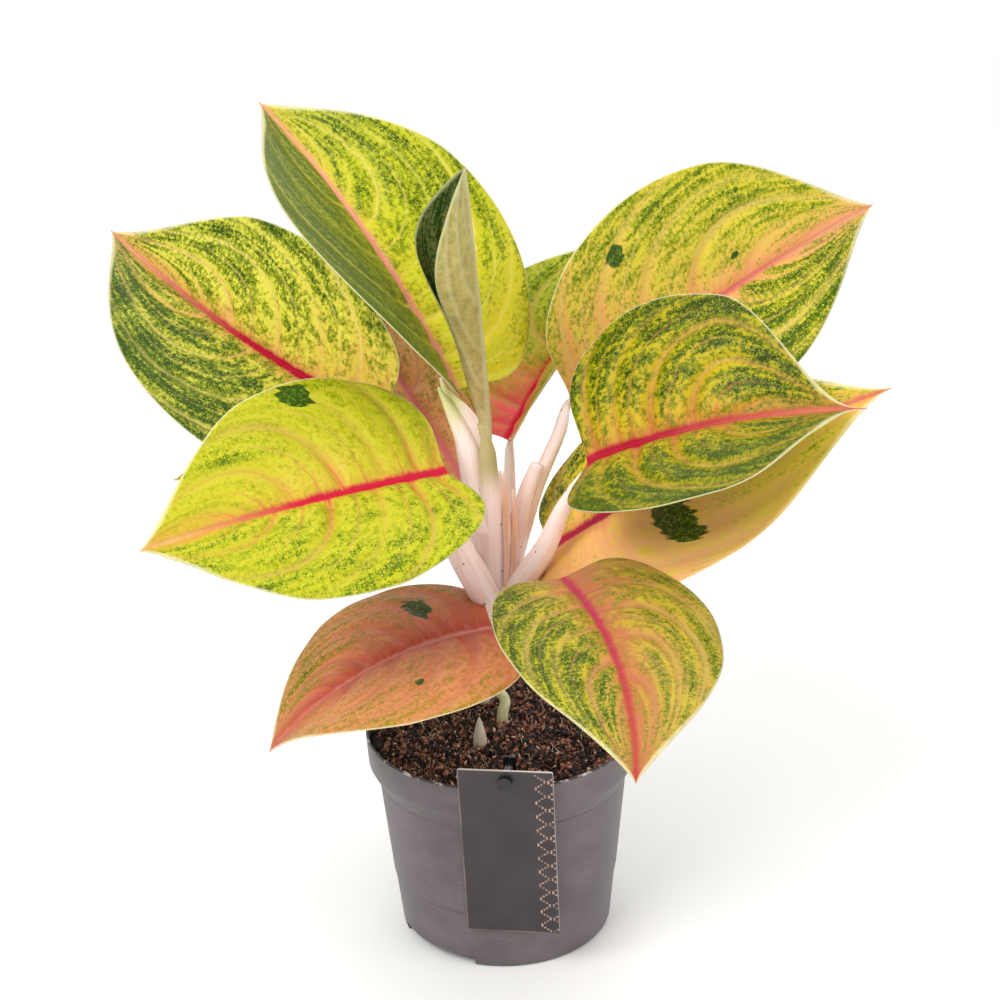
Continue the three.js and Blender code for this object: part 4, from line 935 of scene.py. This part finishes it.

# %% Moulded plastic
# Satin polypropylene, injection moulded: dark grey, soft sheen, with dust and scuffs. Thin dark lines of
# painted shadow run along the creases, the top of the rim is darker, and pale spots along it are partly wear
# and partly painted highlight.
pot_plastic, put = new_material("polypropylene_moulded")
place = put(COORDINATES).outputs["Object"]
height = put(AXES, place).outputs["Z"]
smear = put(NOISE, put(STRETCH, place, (30, 30, 55)), Scale=1, Detail=4, Roughness=0.6)
dust = put(NOISE, place, Scale=800, Detail=1)
scratch = put(NOISE, put(STRETCH, place, (260, 260, 900)), Scale=1, Detail=2)
rim_wear_and_highlight = put(NOISE, place, Scale=260, Detail=3)
broken = put(RANGE, smear, 0.4, 0.55, 0.25, 1)
# Painted shadow: thin dark lines along the step and the shoulder, where the creases hold shade, broken in
# places.
crease_shadows = [put(RANGE, put(ABSOLUTE, put(MINUS, height, centre * MM)), 0.1 * MM, 0.55 * MM, 0.75, 0)
           for centre in (STEP + 0.3, SHOULDER_UP + 0.5)]
at_rim = put(RANGE, height, 95 * MM, 95.6 * MM)
colour = put(BLEND, put(RANGE, smear, 0.35, 0.68), "#544b4d", "#6a6063")
for share, tone in (
        # painted shadow along the creases
        *((put(TIMES, crease_shadow, broken), "#2a2426") for crease_shadow in crease_shadows),
        (put(RANGE, dust, 0.76, 0.82, 0, 0.4), "#b4a8a2"),
        (put(RANGE, scratch, 0.66, 0.76, 0, 0.3), "#988d8f"),
        # A darker band round the top of the rim, and pale spots along it that are partly wear and partly
        # painted highlight.
        (at_rim, "#3a3234"),
        (put(TIMES, put(RANGE, rim_wear_and_highlight, 0.5, 0.62, 0, 0.9), at_rim), "#c8bfba")):
    colour = put(BLEND, share, colour, tone)
gloss = put(RANGE, smear, 0.3, 0.7, 0.36, 0.52)
bump = put(BUMP, Strength=0.2, Distance=0.0004, Height=smear)
put(SURFACE, put(SHADER, Base_Color=colour, Roughness=gloss, IOR=1.49, Normal=bump))
dress(pot, pot_plastic)
settle(pot, "pot", "pot")

# %% [markdown]
# ## Peat
# Potting peat is a dark, moist mass of crumbs and reddish fibres. A lumpy disc gives the surface, and
# Geometry Nodes scatter crumbs and fibres over it, because hundreds of loose bits are placed by chance.

# %% The peat's surface
rng = np.random.default_rng(7)
PEAT_RADIUS, PEAT_EDGE, PEAT_DOME, PEAT_FOOT = 57.6, 90, 3, 7  # the last three are heights
BACK_UP, ROUGH = 1.5, 0.5  # how much higher it lies at the back, and its fine unevenness
RINGS, SPOKES = 40, 120
share = np.repeat(np.arange(1, RINGS + 1) / RINGS, SPOKES)
angle = np.tile(np.arange(SPOKES) * 2 * np.pi / SPOKES, RINGS)
x, y = PEAT_RADIUS * share * np.cos(angle), PEAT_RADIUS * share * np.sin(angle)
lumps = sum(a * np.sin(x / w + p) * np.cos(y / w * 1.13 + q)
            for a, w, p, q in [(0.7, 6.1, 1, 2), (0.9, 2.7, 4, 1), (0.6, 1.4, 0, 3)])
z = PEAT_EDGE + PEAT_DOME * (1 - share ** 2) + BACK_UP * np.sin(angle) * share
z += lumps * np.minimum(1, (1 - share) * 8)
z += rng.uniform(-ROUGH, ROUGH, len(z)) * (share < 1)
turn = angle[:SPOKES]
below = [np.stack([r * np.cos(turn), r * np.sin(turn), 0 * turn + h], 1) for r, h in
         ((57.2, 85), (52.8, 73), (43.4, PEAT_FOOT))]  # the peat fills the pot a little inside its wall
points = np.concatenate([np.stack([x, y, z], 1), *below, [(0, 0, PEAT_EDGE + PEAT_DOME), (0, 0, PEAT_FOOT)]])
top_centre, low_centre = len(points) - 2, len(points) - 1
rows = RINGS + len(below)
faces = []
for k in range(SPOKES):
    n = (k + 1) % SPOKES
    for i in range(rows - 1):
        faces.append((i * SPOKES + k, (i + 1) * SPOKES + k, (i + 1) * SPOKES + n, i * SPOKES + n))
    faces.append((top_centre, k, n))
    faces.append((low_centre, (rows - 1) * SPOKES + n, (rows - 1) * SPOKES + k))
peat = mesh_object("peat", points, faces)

# %% Peat finishes
# Moist peat is nearly matt. Each crumb has its own shade of brown. The near-black between the crumbs is partly
# the peat's own colour and partly painted shade in the gaps.
def earth(name, dark, mid, light, roughness):
    """Peat or a bit in it, from its darkest to its lightest colour."""
    material, put = new_material(name)
    place = put(COORDINATES).outputs["Object"]
    shade = put(READ, attribute_name="shade").outputs["Fac"]
    grain = put(NOISE, place, Scale=450, Detail=4, Roughness=0.7)
    share = put(PLUS, put(RANGE, grain, 0.35, 0.65, -0.55, 0.55), shade)
    colour = put(BLEND, put(RANGE, share, 0.25, 0.7), dark, mid)
    colour = put(BLEND, put(RANGE, share, 0.7, 1.05), colour, light)
    bump = put(BUMP, Strength=0.6, Distance=0.0006, Height=grain)
    put(SURFACE, put(SHADER, Base_Color=colour, Roughness=roughness, Normal=bump))
    return material


dress(peat, earth("peat_moist", "#0c0402", "#38201a", "#5c3a2c", 0.85))


# %% Scatter by Geometry Nodes
def scatter(name, grain_piece, per_m2, sizes, seed, finish, lift, tilt, reach):
    """Grains on the peat: points within a reach of the middle, an instance on each, tilted and sized by chance,
    with more small ones than large, and each with a shade of its own."""
    labels = ("Density", "Smallest", "Largest", "Lift", "Tilt", "Reach")
    tree, put = new_group(name, [("Ground", "Geometry"), *((label, "Float") for label in labels)], "Grains")
    given = put("NodeGroupInput").outputs
    upward = put(AXES, put("GeometryNodeInputNormal")).outputs["Z"]
    out = put(LENGTH, put(STRETCH, put("GeometryNodeInputPosition"), (1, 1, 0))).outputs["Value"]
    within = put("FunctionNodeCompare", out, given["Reach"], data_type="FLOAT", operation="LESS_THAN")
    on_top = put("FunctionNodeCompare", upward, 0.3, data_type="FLOAT", operation="GREATER_THAN")
    chosen = put("FunctionNodeBooleanMath", within, on_top, operation="AND")
    spots = put("GeometryNodeDistributePointsOnFaces", given["Ground"], Selection=chosen,
                Density=given["Density"], Seed=seed)
    spots = put("GeometryNodeSetPosition", spots, Offset=put("ShaderNodeCombineXYZ", 0, 0, given["Lift"]))
    lean = put("ShaderNodeCombineXYZ", given["Tilt"], given["Tilt"], math.pi)
    back = put(SCALE, lean, Scale=-1)
    turn = put("FunctionNodeRandomValue", back, lean, data_type="FLOAT_VECTOR", Seed=seed + 1)
    chance, shade = (put("FunctionNodeRandomValue", data_type="FLOAT", Seed=seed + k).outputs[1]
                     for k in (2, 3))
    size = put(RANGE, put(POWER, chance, 2.5), 0, 1, given["Smallest"], given["Largest"])
    grains = put("GeometryNodeObjectInfo", grain_piece).outputs["Geometry"]
    placed = put("GeometryNodeInstanceOnPoints", spots, Instance=grains, Rotation=turn, Scale=size)
    shaded = put("GeometryNodeStoreNamedAttribute", placed, data_type="FLOAT", domain="INSTANCE", Name="shade",
                 Value=shade)
    real = put("GeometryNodeRealizeInstances", shaded)
    put("NodeGroupOutput", put("GeometryNodeSetMaterial", real, Material=finish))
    piece = bpy.data.objects.new(name, peat.data.copy())
    dress(piece)
    bpy.context.scene.collection.objects.link(piece)
    amounts = (per_m2, *sizes, lift * MM, tilt, reach * MM)
    return grown(piece, tree, {label: float(amount) for label, amount in zip(labels, amounts)})


def pebble(name, seed, stretch):
    """A rough crumb of 20 faces, one millimetre across before it is scaled."""
    chance = np.random.default_rng(seed)
    golden = (1 + 5 ** 0.5) / 2
    corners = [(0, 1, golden), (0, 1, -golden), (0, -1, golden), (0, -1, -golden)]
    corners = [c[k:] + c[:k] for c in corners for k in range(3)]
    points = np.array(corners) / np.linalg.norm((0, 1, golden)) / 2
    points = points * chance.uniform(0.7, 1.25, (12, 1)) * stretch
    hull = bpy.data.meshes.new(name)
    shape = bmesh.new()
    for point in points * MM:
        shape.verts.new(point)
    bmesh.ops.convex_hull(shape, input=shape.verts)
    bmesh.ops.recalc_face_normals(shape, faces=shape.faces)
    shape.to_mesh(hull)
    shape.free()
    return bpy.data.objects.new(name, hull)


def fibre(name, seed):
    """A wisp of root: a thin three-sided tube, one millimetre long before it is scaled."""
    chance = np.random.default_rng(seed)
    knots = [(0.35 * chance.uniform(-1, 1), 0.5 * chance.uniform(-0.3, 0.3), z)
             for z in (-0.5, -0.15, 0.15, 0.5)]
    points, faces, _ = tube(knots, [(0, 0.014), (0.5, 0.026), (1, 0.01)], sides=3, steps=5)
    wisp = mesh_object(name, points, faces)
    bpy.context.scene.collection.objects.unlink(wisp)
    return wisp


# The palest tones of the red crumbs and of the fibres are partly their own colour and partly painted highlight,
# standing in for the glints on wet peat.
crumb_brown = earth("peat_crumb_brown", "#080302", "#502c20", "#b8785e", 0.7)
crumb_red = earth("peat_crumb_red", "#1c0a06", "#a45c44", "#ffd8c4", 0.75)
fibre_coat = earth("peat_fibre", "#4a2010", "#c48c64", "#ffe4d0", 0.6)
white_bit = earth("perlite", "#a89c90", "#d0c6ba", "#f0ebe2", 0.7)
BITS = [  # name, shape, per square metre, sizes, seed, finish, lift, tilt, reach
    ("crumbs_brown", pebble("crumb_a", 1, (1, 0.75, 0.6)), 300000, (0.8, 5.0), 11, crumb_brown, 0.3, 3.1, 55.5),
    ("crumbs_red", pebble("crumb_b", 2, (1, 0.5, 0.35)), 200000, (0.7, 3.8), 21, crumb_red, 0.8, 3.1, 55),
    ("fibres_long", fibre("fibre_a", 3), 26000, (5, 14), 31, fibre_coat, 1.4, 0.5, 50),
    ("fibres_short", fibre("fibre_b", 4), 130000, (1.5, 5.5), 41, fibre_coat, 1.3, 0.8, 54),
    ("pale_bits", pebble("crumb_c", 5, (1, 0.7, 0.8)), 1200, (0.7, 1.8), 51, white_bit, 1.2, 3.1, 54),
]
for bits in BITS:
    settle(scatter(*bits), "soil")
settle(peat, "soil", "soil")

# %% [markdown]
# ## The sprout and the root
# Beside the shoot an ivory sprout stands in the peat, and one pale root hooks down into it. The sprout is
# turned like a teardrop, and the root is a short bent tube.

# %% Sprout and root
SPROUT_AT, SPROUT_HEIGHT, SPROUT_RADIUS = (-9.5, -13, 87), 19, 3.1
swell = [(0, 0), (0.7, 0), (0.88, 0.1), (0.95, 0.2), (1, 0.35), (0.93, 0.48), (0.8, 0.6), (0.6, 0.73),
         (0.4, 0.85), (0.24, 0.92), (0.12, 0.97), (0, 1)]
sprout = turned("sprout_bud", [(r * SPROUT_RADIUS, h * SPROUT_HEIGHT) for r, h in swell], segments=32)
sprout.data.transform(Matrix.Translation(Vector(SPROUT_AT) * MM))
points, faces, _ = tube([(-5.2, 19.6, 106), (-1, 12.5, 105.5), (2, 9, 102.5), (1, 7, 98), (0, 6, 91)],
                        [(0, 2.1), (1, 2.6)], sides=16, steps=24)
root = mesh_object("root_hook", points, faces)


def young_skin(name, pale, deep):
    """Young plant skin without colour in it: ivory, waxy, a little see-through."""
    material, put = new_material(name)
    place = put(COORDINATES).outputs["Object"]
    streak = put(NOISE, put(STRETCH, place, (900, 900, 120)), Scale=1, Detail=2)
    colour = put(BLEND, put(RANGE, streak, 0.4, 0.7), pale, deep)
    bump = put(BUMP, Strength=0.2, Distance=0.0003, Height=streak)
    put(SURFACE, put(SHADER, Base_Color=colour, Roughness=0.42, Normal=bump, Subsurface_Weight=0.2,
                     Subsurface_Radius=(0.003, 0.002, 0.0012), Subsurface_Scale=1))
    return material


dress(sprout, young_skin("bud_scale_ivory", "#dcd2c4", "#ccbfac"))
dress(root, young_skin("root_skin_pale", "#dfdcb4", "#c6c48e"))
settle(sprout, "sprout", "sprout")
settle(root, "root", "aerial_root")

# %% [markdown]
# ## The tag and its peg
# The tag is black laminated card with a white core that shows along its cut edge. A strip of gold foil dots
# crosses it near one side. It hangs on a peg whose stake goes down behind the rim into the peat.

# %% The card's own frame
# Millimetres from the hole: across and up the card, and out from its back, as the CAD model places it.
TAG_TURN, TAG_LEAN, TAG_HANGS_AT, TAG_THICK = -8, 9.02, (10, -62.59, 101.6), 0.8
TAG_HALF_WIDTH, TAG_HALF_HEIGHT, HOLE_UP = 20, 43.5, 37.5  # the last is how far its hole is over its middle
card_turn = Matrix.Rotation(math.radians(TAG_TURN), 3, "Z")
card_stand = card_turn @ Matrix.Rotation(math.radians(90 + TAG_LEAN), 3, "X")
card_origin = card_turn @ Vector(TAG_HANGS_AT)

# %% Laminated card
# Black film on white board: the cut edge shows the white core, and the film is rubbed pale along the border.
card_black, put = new_material("card_laminated_black")
coordinates = put(COORDINATES).outputs
haze = put(NOISE, coordinates["Object"], Scale=60, Detail=3)
from_hole = put(OFFSET, coordinates["Object"], tuple(card_origin * MM))
across, upward = (put(DOT, from_hole, tuple(card_stand.col[k])).outputs["Value"] for k in (0, 1))
to_side = put(MINUS, TAG_HALF_WIDTH * MM, put(ABSOLUTE, across))
to_end = put(MINUS, TAG_HALF_HEIGHT * MM, put(ABSOLUTE, put(PLUS, upward, HOLE_UP * MM)))
rubbed = put(RANGE, put(SMALLER, to_side, to_end), 0.1 * MM, 0.5 * MM, 0.6, 0)
rubbed = put(TIMES, rubbed, put(RANGE, haze, 0.4, 0.6, 0.3, 1))
flat = put(ABSOLUTE, put(DOT, coordinates["Normal"], tuple(card_stand.col[2])).outputs["Value"])
colour = put(BLEND, put(RANGE, haze, 0.35, 0.7), "#2c2325", "#382e30")
colour = put(BLEND, rubbed, colour, "#a89c98")
colour = put(BLEND, put(RANGE, flat, 0.4, 0.6, 1, 0), colour, "#e6dedc")
put(SURFACE, put(SHADER, Base_Color=colour, Roughness=0.34))
dress(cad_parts["tag"], card_black)

# %% [markdown]
# The strip on the card is a plain criss-cross of printed gold dots: two zigzags that mirror each other, the
# outer one cut off by the card's edge. One dot is repeated on a list of places, so Geometry Nodes do it.

# %% The dotted strip
STRIP_LEFT, STRIP_WIDE, STRIP_FOOT = 12.0, 4.9, -80.4  # of the inner zigzag: its left end, width and foot
STROKES, STROKE, DOTS = 23, 3.7, 4  # how many strokes, the height of one and the dots on it
ZIGZAGS_APART = 0.5
PRINT_RIGHT, PRINT_TOP = 19.4, 5.4  # how far the dots go before the card's edge cuts them off
DOT_SIDES, DOT_RADIUS, DOT_THICK = 10, 0.5, 0.06
spots = []
for stroke in range(STROKES):
    for k in range(DOTS):
        share = (k + 0.5) / DOTS
        swing = share if stroke % 2 == 0 else 1 - share
        height = STRIP_FOOT + STROKE * (stroke + share)
        middle = STRIP_LEFT + STRIP_WIDE
        spots += [(middle - STRIP_WIDE * swing, height), (middle + ZIGZAGS_APART + STRIP_WIDE * swing, height)]
spots = [card_origin + card_stand @ Vector((x, y, TAG_THICK + 0.02))
         for x, y in spots if x < PRINT_RIGHT and y < PRINT_TOP]
strip = mesh_object("foil_dots", [tuple(spot) for spot in spots], [])
gold, put = new_material("hot_foil_gold")
tarnish = put(NOISE, put(COORDINATES).outputs["Object"], Scale=400)
rosy = put(BLEND, put(RANGE, tarnish, 0.4, 0.6), "#80695c", "#b89c8c")
put(SURFACE, put(SHADER, Base_Color=rosy, Roughness=0.35, Metallic=0.3))
tree, put = new_group("foil_dots", [("Places", "Geometry"), ("Radius", "Float"), ("Facing", "Vector")], "Dots")
given = put("NodeGroupInput").outputs
dot = put("GeometryNodeMeshCylinder", DOT_SIDES, 1, 1, given["Radius"], DOT_THICK * MM)
placed = put("GeometryNodeInstanceOnPoints", given["Places"], Instance=dot, Rotation=given["Facing"])
real = put("GeometryNodeRealizeInstances", placed)
put("NodeGroupOutput", put("GeometryNodeSetMaterial", real, Material=gold))
settle(grown(strip, tree, {"Radius": DOT_RADIUS * MM, "Facing": list(card_stand.to_euler())}), "card")

# %% The peg
peg_plastic, put = new_material("polystyrene_smoky")
haze = put(NOISE, put(COORDINATES).outputs["Object"], Scale=150, Detail=2)
colour = put(BLEND, haze, "#0e0e10", "#242326")
put(SURFACE, put(SHADER, Base_Color=colour, Roughness=0.18))
dress(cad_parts["tag_peg"], peg_plastic)
